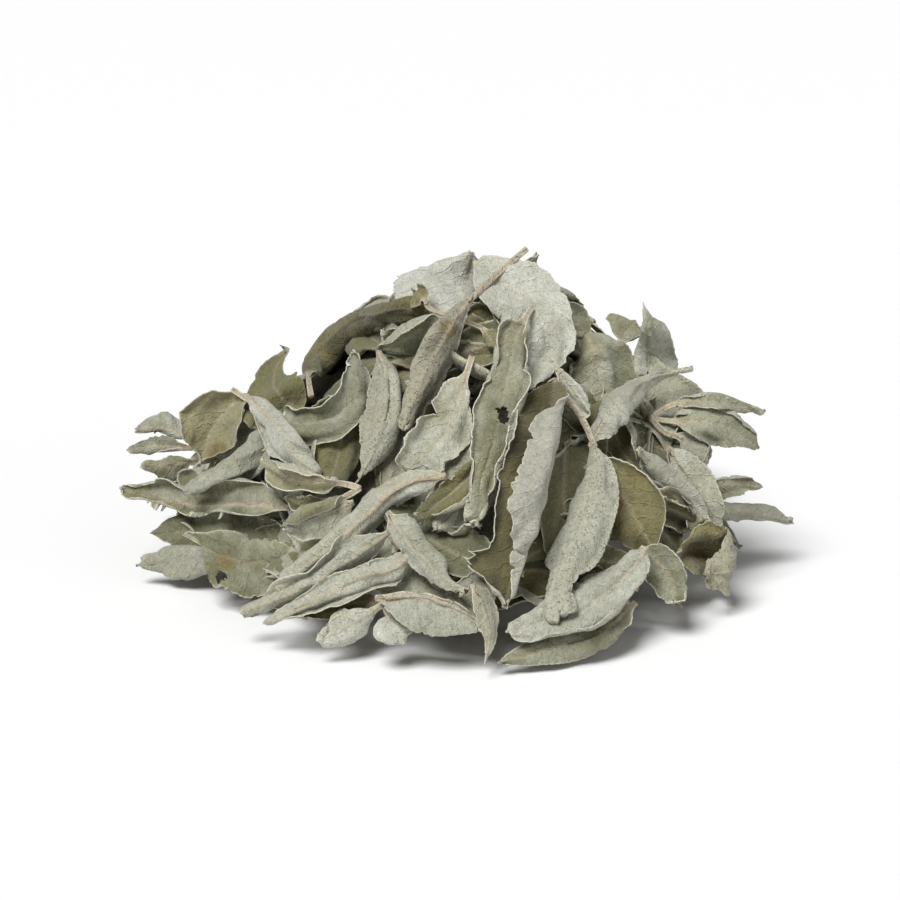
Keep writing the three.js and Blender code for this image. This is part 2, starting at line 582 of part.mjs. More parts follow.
    lift: [1, 1, 1, 1], width: [8, 8], curl: [-150, -120], stalk: 0.03, span: [0.1, 0.94] },
  { name: "sprig_small_right", finish: "olive", hub: [636, 496], lift: [-6, -3, -1, -1], leaves: [
    { trace: [[650, 504], [674, 510], [697, 524]], width: [4, 4.5], curl: [-20, -20] },
    { trace: [[650, 489], [672, 494], [690, 508]], width: [2.5, 3], curl: [-20, -20] }] },
  { name: "leaf_olive_mottled", finish: "ochre", trace: [[598, 458], [618, 488], [636, 518], [654, 552]],
    lift: [0, 0, 0, 0], width: [12, 11], curl: [-35, -20], stalk: 0.05 },
  { name: "leaf_brown_cup", finish: "brown", upright: true,
    trace: [[676, 556], [694, 548], [716, 548], [733, 558], [728, 572], [704, 576]],
    near: [42, 34, 32, 38, 48, 52], width: [12, 12], curl: [10, 10], stalk: 0.02,
    span: [0.14, 0.86], wave: 1.2 },
  { name: "leaf_right_foot", finish: "sage", trace: [[640, 548], [662, 566], [674, 588], [674, 606]],
    lift: [1, 1, 1, 1], width: [7, 7], curl: [-50, -60], stalk: 0.05, span: [0.08, 0.9] },
  { name: "leaf_bottom_crenulate", finish: "sage",
    trace: [[636, 602], [600, 634], [550, 650], [498, 663]],
    lift: [0, 0, 0, 0], width: [6, 7], curl: [-20, -20], stalk: 0.05 },
  { name: "leaf_bottom_lying", finish: "grey",
    trace: [[646, 548], [624, 580], [588, 606], [545, 622], [504, 632]],
    lift: [0, 1, 1, 1, 1], width: [8, 9], curl: [-40, -70], stalk: 0.05, span: [0.05, 0.93] },
  { name: "leaf_edge_on", finish: "pale", trace: [[550, 360], [568, 385], [590, 414]],
    lift: [3, 2, 1], width: [3.5, 4], curl: [-20, -20], turn: [35, 35] },
  { name: "leaf_brown_stalk", finish: "sage",
    trace: [[560, 390], [580, 415], [596, 452], [598, 490], [584, 530], [566, 572], [558, 624]],
    lift: [3, 4, 3, 3, 3, 3, 2], width: [12, 12], curl: [-45, -45], stalk: 0.27, span: [0.04, 0.93] },
  { name: "leaf_main_centre", finish: "olive",
    trace: [[556, 378], [547, 420], [538, 465], [525, 512], [515, 560], [504, 607]],
    lift: [2, 3, 3, 3, 3, 3], width: [13, 12], curl: [150, 25], curlEnds: [1, 0.7], stalk: 0.02,
    span: [0.02, 1] },
  { name: "leaf_pointed_tip", finish: "sage", trace: [[472, 584], [485, 612], [490, 638], [484, 665]],
    lift: [2, 2, 2, 2], width: [4, 4], curl: [-30, -30], stalk: 0.05 },
];

// The leaves inside the heap and round its back, as sprigs that are laid from the side that they face.
// at is the hub's place on the floor plan, and lift how far the leaves come over the heap's surface.
const ROUND_SPRIGS = [
  { name: "sprig_floor", side: "top", at: [0, 4], leaves: 6, hubLift: 0, lift: 0, plumb: true,
    onFloor: true, foot: 0.7 },
  { name: "sprig_inner", side: "top", at: [-8, -14], leaves: 6, hubLift: -42, lift: -32, plumb: true },
  { name: "sprig_left_foot", side: "left", at: [-66, 0], leaves: 5, hubLift: -16, lift: -9 },
  { name: "sprig_right_foot", side: "right", at: [66, 0], leaves: 5, hubLift: -16, lift: -9 },
  { name: "sprig_back_foot", side: "back", at: [4, 60], leaves: 5, hubLift: -11, lift: -7 },
  { name: "sprig_back_foot_left", side: "backLeft", at: [-58, 40], leaves: 5, hubLift: -11, lift: -7 },
  { name: "sprig_back_foot_right", side: "backRight", at: [58, 38], leaves: 5, hubLift: -11, lift: -7 },
  { name: "sprig_back_left", side: "backLeft", at: [-36, 24], leaves: 5, hubLift: -14, lift: -9 },
  { name: "sprig_back_right", side: "backRight", at: [38, 22], leaves: 5, hubLift: -14, lift: -9 },
  { name: "sprig_back", side: "back", at: [2, 40], leaves: 6, hubLift: -12, lift: -6 },
  { name: "sprig_crown", side: "crown", at: [-6, 22], leaves: 5, hubLift: -20, lift: -16, plumb: true },
];
const SPRIG_LEAF = { length: [52, 76], halfWidth: [7.5, 12], sweep: 40, curls: [-90, 50], rise: [-1, 5] };
const FOREMOST = -4; // the back sprigs' leaves keep behind this, where the front leaves lie
const FOOT = 0.9; // share of the heap's reach from which leaves turn to lie along its foot
const FOOT_TURN = 3; // how many degrees they turn for each mm

// The point over a place on the floor plan that lies the sprig's lift out from the heap's surface, or
// straight over it.
function heapPoint(spec, x, y, lift) {
  const step = 0.5;
  const height = heapHeight(x, y);
  const normal = new THREE.Vector3(0, 0, 1);
  if (height > 0 && !spec.plumb) {
    normal.x = (heapHeight(x - step, y) - heapHeight(x + step, y)) / (2 * step);
    normal.y = (heapHeight(x, y - step) - heapHeight(x, y + step)) / (2 * step);
    normal.normalize();
  }
  const point = new THREE.Vector3(x, y, Math.max(0, height)).addScaledVector(normal, lift);
  point.z = spec.onFloor ? BLADE / 2 : Math.max(point.z, BLADE / 2);
  return point;
}

// The turn that keeps a leaf inside the heap's foot, and a back leaf behind the front ones.
function keepingTurn(spec, x, y, angle) {
  const outward = deg(Math.atan2(y, x));
  const off = THREE.MathUtils.euclideanModulo(angle - outward + 180, 360) - 180;
  const share = Math.hypot(x / HEAP.halfWidth, y / HEAP.halfDepth);
  let turn = share > (spec.foot ?? FOOT) && Math.abs(off) < 90 ? FOOT_TURN * Math.sign(off || 1) : 0;
  if (y < FOREMOST && spec.side.startsWith("back")) turn += FOOT_TURN * Math.sign(Math.cos(rad(angle)));
  return turn;
}

// A rib that runs over the heap's surface from its sprig's knob, bending sideways as it goes.
function surfaceRib(spec, start, heading, sweep, length, rise) {
  const parts = 4;
  let angle = heading;
  let x = spec.at[0] + start * Math.cos(rad(angle));
  let y = spec.at[1] + start * Math.sin(rad(angle));
  const rib = [heapPoint(spec, x, y, spec.hubLift)];
  for (let gone = 1; gone <= length; gone += 1) {
    angle += sweep / length + keepingTurn(spec, x, y, angle);
    const [dx, dy] = [Math.cos(rad(angle)), Math.sin(rad(angle))];
    const slope = Math.max(0, heapHeight(x + dx, y + dy)) - Math.max(0, heapHeight(x, y));
    x += dx / Math.hypot(1, slope);
    y += dy / Math.hypot(1, slope);
    if (gone % Math.round(length / parts) === 0) {
      const share = gone / length;
      const lift = lerp(spec.hubLift, spec.lift + rise * share, Math.min(1, share * 2));
      rib.push(heapPoint(spec, x, y, lift));
    }
  }
  return rib;
}

function roundSprig(spec, draw) {
  const first = draw(0, 360);
  const headings = Array.from({ length: spec.leaves }, (_, k) => {
    return first + (k + draw(-0.12, 0.12)) * (360 / spec.leaves);
  });
  const knob = knobFor([...headings, headings[0] + 360]);
  const leaves = headings.map((heading) => {
    const sweep = draw(-SPRIG_LEAF.sweep, SPRIG_LEAF.sweep);
    const length = Math.round(draw(...SPRIG_LEAF.length));
    const rib = surfaceRib(spec, knob.radius, heading, sweep, length, draw(...SPRIG_LEAF.rise));
    const half = draw(...SPRIG_LEAF.halfWidth);
    const leaf = { rib, width: [half, half * draw(0.85, 1.1)], wave: 1.2, stalk: draw(0.08, 0.2) };
    leaf.curl = [draw(...SPRIG_LEAF.curls), draw(...SPRIG_LEAF.curls)];
    leaf.curlEnds = [1, 0.5];
    leaf.turn = [0, draw(-30, 30)];
    return spec.onFloor ? { ...leaf, wave: 0, curl: [0, 0], turn: [0, 0] } : leaf;
  });
  knob.centre = heapPoint(spec, ...spec.at, spec.hubLift);
  return { knob, leaves, allRound: true };
}

// A traced sprig's leaves stand round its hub anticlockwise. The first point of each one's trace only gives
// the way in which its stalk leaves the knob.
function tracedSprig(spec) {
  const [hubX, hubY] = spec.hub;
  const headings = spec.leaves.map(({ trace: [[x, y]] }) => deg(Math.atan2(hubY - y, x - hubX)));
  headings.forEach((heading, k) => {
    if (k > 0 && heading < headings[k - 1]) headings[k] += 360;
  });
  const knob = knobFor(headings);
  const reach = knob.radius * VIEWPOINT.pixelsPerMm;
  const leaves = spec.leaves.map((leaf, k) => {
    const start = [hubX + reach * Math.cos(rad(headings[k])), hubY - reach * Math.sin(rad(headings[k]))];
    return { ...leaf, rib: tracedRib([start, ...leaf.trace.slice(1)], spec) };
  });
  [knob.centre] = tracedRib([spec.hub, spec.hub], spec);
  return { knob, leaves, allRound: false };
}

function addLeaf(group, name, finish, sheet) {
  const material = new THREE.MeshStandardMaterial(FINISHES[finish]);
  const mesh = new THREE.Mesh(thicken(sheet), material);
  mesh.name = name;
  group.add(mesh);
}

const heap = new THREE.Group();
const draw = seededDraw(7);
for (const spec of ROUND_SPRIGS) {
  const sheet = sprigSheet(roundSprig(spec, draw), SIDES[spec.side]);
  laySheet(sheet, SIDES[spec.side]);
  addLeaf(heap, spec.name, "sage", sheet);
}
for (const spec of FRONT) {
  const sheet = spec.hub
    ? sprigSheet(tracedSprig(spec), front)
    : loneSheet({ ...spec, rib: tracedRib(spec.trace, spec) }, front);
  laySheet(sheet, front);
  addLeaf(heap, spec.name, spec.finish, sheet);
}

// The origin is on the floor, at the middle of the heap's reach.
const reach = new THREE.Box3().setFromObject(heap).getCenter(new THREE.Vector3());
heap.position.set(-reach.x, -reach.y, 0);

export default heap;
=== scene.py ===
import json
import math
from itertools import cycle

import bpy
import numpy as np
from mathutils import Matrix, Vector


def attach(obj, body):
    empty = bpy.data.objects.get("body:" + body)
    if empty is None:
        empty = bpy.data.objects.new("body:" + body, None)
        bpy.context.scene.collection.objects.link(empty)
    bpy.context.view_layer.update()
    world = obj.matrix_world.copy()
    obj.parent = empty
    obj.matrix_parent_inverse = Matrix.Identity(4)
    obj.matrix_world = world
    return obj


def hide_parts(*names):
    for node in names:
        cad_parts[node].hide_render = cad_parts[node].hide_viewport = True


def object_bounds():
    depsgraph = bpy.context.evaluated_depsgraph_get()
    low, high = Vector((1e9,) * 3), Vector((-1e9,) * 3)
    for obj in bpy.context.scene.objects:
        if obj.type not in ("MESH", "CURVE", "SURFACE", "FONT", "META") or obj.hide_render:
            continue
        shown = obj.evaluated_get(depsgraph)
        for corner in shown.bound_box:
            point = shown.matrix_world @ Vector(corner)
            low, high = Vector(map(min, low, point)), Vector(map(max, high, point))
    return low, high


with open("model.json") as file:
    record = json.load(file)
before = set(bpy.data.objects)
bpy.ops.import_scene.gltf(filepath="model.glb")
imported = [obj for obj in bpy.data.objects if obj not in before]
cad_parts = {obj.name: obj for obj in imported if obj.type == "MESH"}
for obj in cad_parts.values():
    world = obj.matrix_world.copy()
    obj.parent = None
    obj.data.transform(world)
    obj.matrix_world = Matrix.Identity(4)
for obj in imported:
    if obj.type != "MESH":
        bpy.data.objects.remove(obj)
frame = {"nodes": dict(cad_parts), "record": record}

# A loose heap of dried white sage leaves. Every leaf of the frame is drawn again on a fine grid over its
# own middle surface, with a petiole and midrib, side veins, a toothed margin and felt. Lengths are in mm.
MM = 0.001
CAD_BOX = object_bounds()

# The photograph: 900 pixels square, seen from the front and a little above.
VIEW_DISTANCE = 833.0
VIEW_ELEVATION = 20.0
VIEW_LENS = 100.0
VIEW_SENSOR = 36.0
VIEW_AIM = {"across": -1.67, "up": 38.33}
HEAP_SHIFT = np.array([-1.286, 0.242, 0.0])
PICTURE_CENTRE = 450.0
PIXELS_PER_MM = 3.0

# One leaf, with turns in degrees. The frame gives it as rows of five points.
LEAF_COLUMNS = 5
SPRIG_ROWS = 6
BLADE = 0.46
TOOTH_LENGTH = 2.1
TOOTH_DEPTH = 0.3
PETIOLE_HALF_WIDTH = 0.95
PETIOLE_HEIGHT = 0.55
RIB_WIDTH = 0.5
RIB_HEIGHT = 0.5
MOST_TURN = 165
FLOOR_GAP = 0.6
LOWEST = 0.03


def unit(vectors):
    """The vectors at length one, along the last axis."""
    return vectors / np.maximum(np.linalg.norm(vectors, axis=-1, keepdims=True), 1e-9)


def smooth(values, low, high):
    """0 below low, 1 above high, and a smooth step between them."""
    t = np.clip((values - low) / (high - low), 0, 1)
    return t * t * (3 - 2 * t)


def noise(x, y, seed):
    """Smooth noise from -1 to 1 over a plane, with one bump or so to the unit."""
    x, y = np.broadcast_arrays(np.asarray(x, float), np.asarray(y, float))
    column, row = np.floor(x), np.floor(y)
    fx, fy = smooth(x - column, 0, 1), smooth(y - row, 0, 1)

    def corner(dx, dy):
        value = np.sin((column + dx) * 127.1 + (row + dy) * 311.7 + seed * 74.7) * 43758.5453
        return 2 * (value - np.floor(value)) - 1

    low = corner(0, 0) * (1 - fx) + corner(1, 0) * fx
    high = corner(0, 1) * (1 - fx) + corner(1, 1) * fx
    return low * (1 - fy) + high * fy


class View:
    """A picture plane that the heap is seen on, with distances in mm."""

    def __init__(self, azimuth, elevation, across=0.0, up=38.0, shift=(0.0, 0.0, 0.0)):
        a, e = math.radians(azimuth), math.radians(elevation)
        self.across = np.array([math.cos(a), math.sin(a), 0.0])
        self.to_eye = np.array([math.sin(a) * math.cos(e), -math.cos(a) * math.cos(e), math.sin(e)])
        self.up = np.cross(self.to_eye, self.across)
        self.aim = self.across * across + self.up * up + np.array(shift)
        self.eye = self.aim + self.to_eye * VIEW_DISTANCE

    def see(self, points):
        """Where points show on the plane, and how near they are."""
        offset = points - self.aim
        near = offset @ self.to_eye
        scale = (VIEW_DISTANCE - near) / VIEW_DISTANCE
        return offset @ self.across / scale, offset @ self.up / scale, near

    def point(self, x, y, near):
        """The points that show at (x, y) and lie that much in front of the plane."""
        x, y, near = (np.asarray(value, float)[..., None] for value in (x, y, near))
        scale = (VIEW_DISTANCE - near) / VIEW_DISTANCE
        return self.aim + self.to_eye * near + (self.across * x + self.up * y) * scale


PHOTO = View(0, VIEW_ELEVATION, VIEW_AIM["across"], VIEW_AIM["up"], HEAP_SHIFT)


def placed(name, data):
    """A new object in the scene."""
    thing = bpy.data.objects.new(name, data)
    bpy.context.scene.collection.objects.link(thing)
    return thing


def make_camera():
    data = bpy.data.cameras.new("camera")
    data.lens = VIEW_LENS
    data.sensor_width = VIEW_SENSOR
    data.clip_start = 0.01
    camera = placed("camera", data)
    turn = Matrix((PHOTO.across, PHOTO.up, PHOTO.to_eye)).transposed().to_4x4()
    camera.matrix_world = Matrix.Translation(Vector(PHOTO.eye * MM)) @ turn
    bpy.context.scene.camera = camera


make_camera()


# Reading the frame: each node is a thickened sheet, whose triangles tell where its rows and columns run.

def weld(mesh):
    """A mesh's corners in mm, each once, and its triangles."""
    corners = np.zeros(len(mesh.vertices) * 3)
    mesh.vertices.foreach_get("co", corners)
    keys = np.round(corners.reshape(-1, 3) / MM * 1000).astype(np.int64)
    places, index = np.unique(keys, axis=0, return_inverse=True)
    index = index.reshape(-1)
    triangles = [tuple(int(index[v]) for v in face.vertices) for face in mesh.polygons]
    return places / 1000.0, triangles


def grid_triangles(rows, start):
    for i in range(rows):
        for j in range(LEAF_COLUMNS - 1):
            a = start + i * LEAF_COLUMNS + j
            b = a + LEAF_COLUMNS
            yield (a, a + 1, b + 1)
            yield (a, b + 1, b)


def sprig_triangles(leaves, all_round):
    """The triangles of a sprig's sheet: its leaves, and the fan of its knob."""
    points = SPRIG_ROWS * LEAF_COLUMNS
    ring = []
    for leaf in range(leaves):
        yield from grid_triangles(SPRIG_ROWS - 1, leaf * points)
        ring += [leaf * points + j for j in reversed(range(LEAF_COLUMNS))]
    fan = [(leaves * points, a, b) for a, b in zip(ring, ring[1:] + ring[:1])]
    yield from fan if all_round else fan[:-1]


def thickened(triangles, count):
    """The closed solid's triangles: both faces of the sheet, and a wall round its open edge."""
    solid = []
    edges = {}
    for a, b, c in triangles:
        solid += [(a, b, c), (c + count, b + count, a + count)]
        for edge in ((a, b), (b, c), (c, a)):
            if edges.pop(edge[::-1], None) is None:
                edges[edge] = edge
    for a, b in edges:
        solid += [(b, a, a + count), (b, a + count, b + count)]
    return solid


def opposite(triangles):
    """The third corner of the triangle on the left of each directed edge."""
    return {edge: third for a, b, c in triangles for edge, third in (((a, b), c), ((b, c), a), ((c, a), b))}


def grow_match(pattern, solid, start, first):
    """Follows a pattern over a solid from one edge, and says which corner stands for which point."""
    found = {start[0]: first[0], start[1]: first[1]}
    waiting = [(start, first)]
    done = set()
    while waiting:
        (a, b), (p, q) = waiting.pop()
        if (a, b) in done:
            continue
        done.add((a, b))
        c, r = pattern[a, b], solid.get((p, q))
        if r is None or found[a] != p or found[b] != q or found.setdefault(c, r) != r:
            return None
        for edge, image in (((b, c), (q, r)), ((c, a), (r, p)), ((b, a), (q, p))):
            if edge not in done:
                waiting.append((edge, image))
    return found if len(set(found.values())) == len(found) else None


def matches(pattern_triangles, solid_triangles):
    """Every way in which the solid's corners stand for the pattern's points."""
    pattern, solid = opposite(pattern_triangles), opposite(solid_triangles)
    start = next(iter(pattern))
    for first in solid:
        found = grow_match(pattern, solid, start, first)
        if found:
            yield found


def middle_surface(corners, found, count):
    top, bottom = (corners[[found[k + face] for k in range(count)]] for face in (0, count))
    return (top + bottom) / 2


def read_lone(corners, triangles, stalk_way):
    """A lone leaf's rows of points from its stalk to its tip. stalk_way is the way on the photograph, x
    and y in pixels, in which its stalk end lies from its tip."""
    count = len(corners) // 2
    rows = count // LEAF_COLUMNS
    pattern = thickened(list(grid_triangles(rows - 1, 0)), count)
    best = None
    for found in matches(pattern, triangles):
        grid = middle_surface(corners, found, count).reshape(rows, LEAF_COLUMNS, 3)
        ends = sum(np.linalg.norm(np.diff(grid[i], axis=0), axis=1).sum() for i in (0, -1))
        x, y, _ = PHOTO.see(grid[[0, -1]].mean(axis=1))
        wrong_way = (x[0] - x[1]) * stalk_way[0] - (y[0] - y[1]) * stalk_way[1] < 0
        if best is None or (wrong_way, ends) < best[0]:
            best = ((wrong_way, ends), grid)
    return best[1]


def read_sprig(corners, triangles):
    """A sprig's leaves, each with a first row at the knob where their stalks meet."""
    count = len(corners) // 2
    points = SPRIG_ROWS * LEAF_COLUMNS
    leaves = count // points
    for all_round in (True, False):
        pattern = thickened(list(sprig_triangles(leaves, all_round)), count)
        found = next(matches(pattern, triangles), None)
        if found:
            break
    sheet = middle_surface(corners, found, count)
    knob = sheet[-1]
    grids = []
    for leaf in range(leaves):
        grid = sheet[leaf * points:(leaf + 1) * points].reshape(SPRIG_ROWS, LEAF_COLUMNS, 3)
        root = knob + (grid[0] - grid[0].mean(axis=0)) * 0.6
        grids.append(np.concatenate([root[None], grid]))
    return grids


# One fine leaf.

def between(a, b, c, d, t):
    """The Catmull-Rom curve from b to c at a share t of the way."""
    return b + 0.5 * t * (c - a + t * (2 * a - 5 * b + 4 * c - d + t * (3 * (b - c) + d - a)))


def run_on(values):
    """The values with one more at each end of the first axis, which runs straight on."""
    return np.concatenate([2 * values[:1] - values[1:2], values, 2 * values[-1:] - values[-2:-1]])


def cubic(values, places):
    """Values along the first axis, at places counted in rows."""
    padded = run_on(values)
    k = np.clip(np.floor(places).astype(int), 0, len(values) - 2)
    t = (places - k).reshape((-1,) + (1,) * (values.ndim - 1))
    return between(*(padded[k + n] for n in range(4)), t)


def surface_at(grid, u, v):
    """Points of a leaf's smooth middle surface: u in rows and v in columns, both arrays of one shape."""
    padded = run_on(np.stack([cubic(grid[:, j], u.reshape(-1)) for j in range(LEAF_COLUMNS)]))

    def across(places):
        k = np.clip(np.floor(places).astype(int), 0, LEAF_COLUMNS - 2)
        t = (places - k)[:, None]
        return between(*(padded[k + n, np.arange(len(places))] for n in range(4)), t)

    flat = v.reshape(-1)
    inside = np.clip(flat, 0, LEAF_COLUMNS - 1)
    inward = np.clip(inside, 0.25, LEAF_COLUMNS - 1.25)
    at = across(inside)
    run = (at - across(inward)) / 0.25 * np.abs(flat - inside)[:, None]
    return (at + run).reshape(u.shape + (3,))


def column_places(cells):
    """Where a blade's columns lie from -1 to 1, closer together by the rib and by the margins."""
    s = np.linspace(-1, 1, 2 * cells + 1)
    return np.sign(s) * (0.6 * np.abs(s) + 0.2 * (1 - np.cos(np.pi * np.abs(s))))


def normals_of(points):
    along = np.gradient(points, axis=0)
    across = np.gradient(points, axis=1)
    return unit(np.cross(across, along))


def turn_strips(points, angles):
    """Turns each lengthwise strip of the blade towards its upper face by an angle in degrees."""
    middle = points.shape[1] // 2
    along = unit(np.gradient(points[:, middle], axis=0))
    turned = points.copy()
    for way in (1, -1):
        last = points.shape[1] if way > 0 else -1
        for j in range(middle + way, last, way):
            step = points[:, j] - points[:, j - way]
            turn = np.radians(angles[:, j] * -way)[:, None]
            lengthwise = along * (along * step).sum(axis=1, keepdims=True) * (1 - np.cos(turn))
            swung = turned[:, j - way] + step * np.cos(turn) + np.cross(along, step) * np.sin(turn)
            turned[:, j] = swung + lengthwise
    return turned


def seeded_look(seed, curl=1.0):
    """How one dried leaf rolls, tears and shades, drawn from its seed."""
    draw = np.random.default_rng(seed)
    rolls, grows = [], []
    for _ in range(2):
        kind = draw.random()
        if kind < 0.55:
            rolls.append(curl * draw.uniform(90, 200))
            grows.append(curl * draw.uniform(1.0, 3.4))
        elif kind < 0.75:
            rolls.append(-curl * draw.uniform(70, 150))
            grows.append(curl * draw.uniform(0.8, 2.0))
        else:
            rolls.append(curl * draw.uniform(-30, 45))
            grows.append(0.0)
    notches = []
    for _ in range(draw.integers(0, 4)):
        place, side = draw.uniform(0.3, 0.95), draw.choice((-1, 1))
        notches.append((place, side, draw.uniform(0.08, 0.25), draw.uniform(0.01, 0.035)))
    return {
        "roll": tuple(rolls), "grow": tuple(grows), "notches": notches,
        "fold": draw.uniform(-18, 22) * curl, "under": draw.random() < 0.4,
        "ripple": draw.uniform(0.6, 1.5), "tip_lift": draw.uniform(-2, 3) * curl,
        "tone": draw.uniform(-0.25, 0.3),
        "warm": draw.uniform(-0.25, 0.2), "ragged": draw.uniform(0.2, 0.9),
        "rim_tint": draw.uniform(0.25, 0.75), "rib_tint": draw.uniform(0.35, 0.8),
    }


class FineLeaf:
    """One leaf on a fine grid. Its sides are left and right for the viewer who looks from its stalk to its
    tip, and rolls and lifts are towards the viewer."""

    def __init__(self, grid, look, cell, half_cells, seed, out_way):
        self.grid, self.look, self.seed = grid, look, seed
        self.rows = len(grid) - 1
        rib = cubic(grid[:, LEAF_COLUMNS // 2], np.linspace(0, self.rows, 6 * self.rows + 1))
        length = np.linalg.norm(np.diff(rib, axis=0), axis=1).sum()
        share = np.linspace(0, 1, max(8, round(length / cell)) + 1)[:, None]
        columns = column_places(look.get("half_cells", half_cells))
        self.share, self.t = np.broadcast_arrays(share, columns[None, :])
        self.along = self.share * length
        facing = (normals_of(grid)[1:-1] * out_way).sum()
        self.facing = 1 if facing >= 0 else -1
        self.right = (self.t > 0) if self.facing > 0 else (self.t < 0)
        self.upper_is_top = (self.facing > 0) != look["under"]
        self.find_widths()
        self.find_outline()
        self.find_surface()

    def side(self, pair):
        return np.where(self.right, pair[1], pair[0])

    def noise(self, length, width, number):
        """Noise with bumps of a length along the leaf and a width across it, in mm."""
        return noise(self.along / length, self.out / width + 40 * self.right, self.seed + number)

    def margin_noise(self, length, number):
        return noise(self.along / length, 9.0 * self.right, self.seed + number)

    def find_widths(self):
        widths = np.linalg.norm(np.diff(self.grid, axis=1), axis=2)
        halves = np.stack([widths[:, :2].sum(axis=1), widths[:, 2:].sum(axis=1)], axis=1)
        half = cubic(halves, self.share[:, 0] * self.rows)
        self.half = np.maximum(np.where(self.t > 0, half[:, 1:], half[:, :1]), 0.5)
        self.petiole = (1 - smooth(self.half, 1.7, 4.0)) * (1 - smooth(self.share, 0.45, 0.6))
        self.blade = 1 - self.petiole
        self.torn_start, self.torn_end = (halves[k].sum() > 5 for k in (0, -1))
        self.torn_end = self.torn_end or self.look.get("blunt", False)
        belly = smooth(self.share, 0.08, 0.3) * (1 - smooth(self.share, 0.72, 1.0))
        self.wide = np.maximum(1 + self.side(self.look["grow"]) / self.half * belly * self.blade, 0.3)

    def find_outline(self):
        """How far out each side reaches, as a share of the frame's leaf."""
        look = self.look
        tip_length = look.get("tip", 0.03 if self.torn_end else 0.08)
        left = np.clip((1 - self.share) / tip_length, 0, 1)
        self.rounding = np.sqrt(np.clip(1 - (1 - left) ** 2, 0.0025, 1))
        point = look.get("point", 0.0)
        if point:
            self.rounding = self.rounding * np.clip((1 - self.share) / point, 0.05, 1) ** 0.75
        scale = self.rounding * self.blade * self.wide
        scale = scale + self.petiole * np.minimum(1, PETIOLE_HALF_WIDTH / self.half)
        phase = 2 * np.pi * self.along / TOOTH_LENGTH + 3 * self.margin_noise(7, 0)
        ragged = self.margin_noise(3.3, 1) + 0.7 * self.margin_noise(1.3, 2)
        inward = TOOTH_DEPTH / 2 * (1 - np.cos(phase)) + look["ragged"] * np.maximum(0, ragged)
        inward = inward + look["ragged"] * 1.6 * np.maximum(0, self.margin_noise(9, 14) - 0.2)
        scale = scale - self.blade * inward / self.half * np.abs(self.t) ** 3
        for place, side, depth, size in look.get("notches", ()):
            bite = np.exp(-(((self.share - place) / size) ** 2)) * (self.right == (side > 0))
            scale = scale - bite * depth * (1 + 0.35 * self.margin_noise(1.4, 3))
        self.scale = np.clip(scale, 0.02, 5.0)
        self.out = np.abs(self.t) * self.scale * self.half

    def find_surface(self):
        look, share, t = self.look, self.share, np.abs(self.t)
        start = 0.02 + 0.03 * noise(self.t * 4.1, 3, self.seed + 4) if self.torn_start else 0.0
        end = 1 - 0.025 * (1 + noise(self.t * 3.3, 0, self.seed + 4)) * self.torn_end
        end = end - look.get("slant", 0.0) * self.t * self.facing
        u = self.rows * (start + share * (end - start))
        points = surface_at(self.grid, u, (1 + self.t * self.scale) * (LEAF_COLUMNS // 2))

        bend_at = np.clip(1 / self.wide, 0.25, 0.86)
        soft = look.get("roll_soft", 0.13)
        belly = smooth(share, 0.05, 0.28) * (1 - 0.5 * smooth(share, 0.85, 1.0)) * self.blade
        turn = self.side(look["roll"]) * smooth(t, bend_at - soft, bend_at + soft)
        turn = turn * belly * (1 + 0.25 * noise(self.along / 13, 9.0 * self.right, self.seed + 5))
        turn = np.clip(turn, -185, np.where(self.wide > 1.4, MOST_TURN, 190))
        turn = turn + look["fold"] * smooth(t, 0.0, 0.12) * self.blade
        points = turn_strips(points, turn * self.facing)

        normals = normals_of(points)
        wave = 1.5 * self.margin_noise(13, 6) + 0.5 * self.margin_noise(4.6, 7)
        relief = look["ripple"] * t ** 2 * wave
        relief = relief + self.noise(17, 3.1, 8) * smooth(self.out, 0.5, 2.5)
        relief = relief + 0.55 * self.noise(5, 3.6, 9)
        relief = relief + 0.16 * self.noise(1.8, 1.7, 10)
        relief = relief * self.rounding * self.blade + look["tip_lift"] * smooth(share, 0.72, 1.05) ** 2
        points = points + normals * (relief * self.facing)[..., None]
        height = points[..., 2]
        pressed = FLOOR_GAP * np.exp(np.minimum(height, FLOOR_GAP) / FLOOR_GAP - 1)
        points[..., 2] = np.where(height < FLOOR_GAP, pressed, height)
        self.points = points
        self.normals = normals_of(self.points)
        self.rim = (1 - t) * self.scale * self.half

    def thickness(self):
        """How far the two faces lie from the middle surface, the upper one and then the one below."""
        rib_width = self.look.get("rib_width", RIB_WIDTH) * (1 - 0.65 * self.share) + 0.14
        rib_height = self.look.get("rib_height", RIB_HEIGHT)
        ridge = np.exp(-((self.out / rib_width) ** 2)) * rib_height * (1 - 0.7 * self.share)
        self.rib = np.exp(-((self.out / (rib_width * 1.2)) ** 2))
        rounding = 1 - 0.5 * np.minimum(1, self.out / PETIOLE_HALF_WIDTH) ** 2
        grown = self.petiole * PETIOLE_HEIGHT * rounding
        slim = BLADE / 2 * (0.6 + 0.4 * smooth(self.rim, 0, 0.8)) * (0.4 + 0.6 * self.rounding)
        upper = np.maximum(slim - 0.45 * ridge * self.blade - 0.25 * self.petiole * ridge, 0.08)
        return upper, slim + ridge + grown

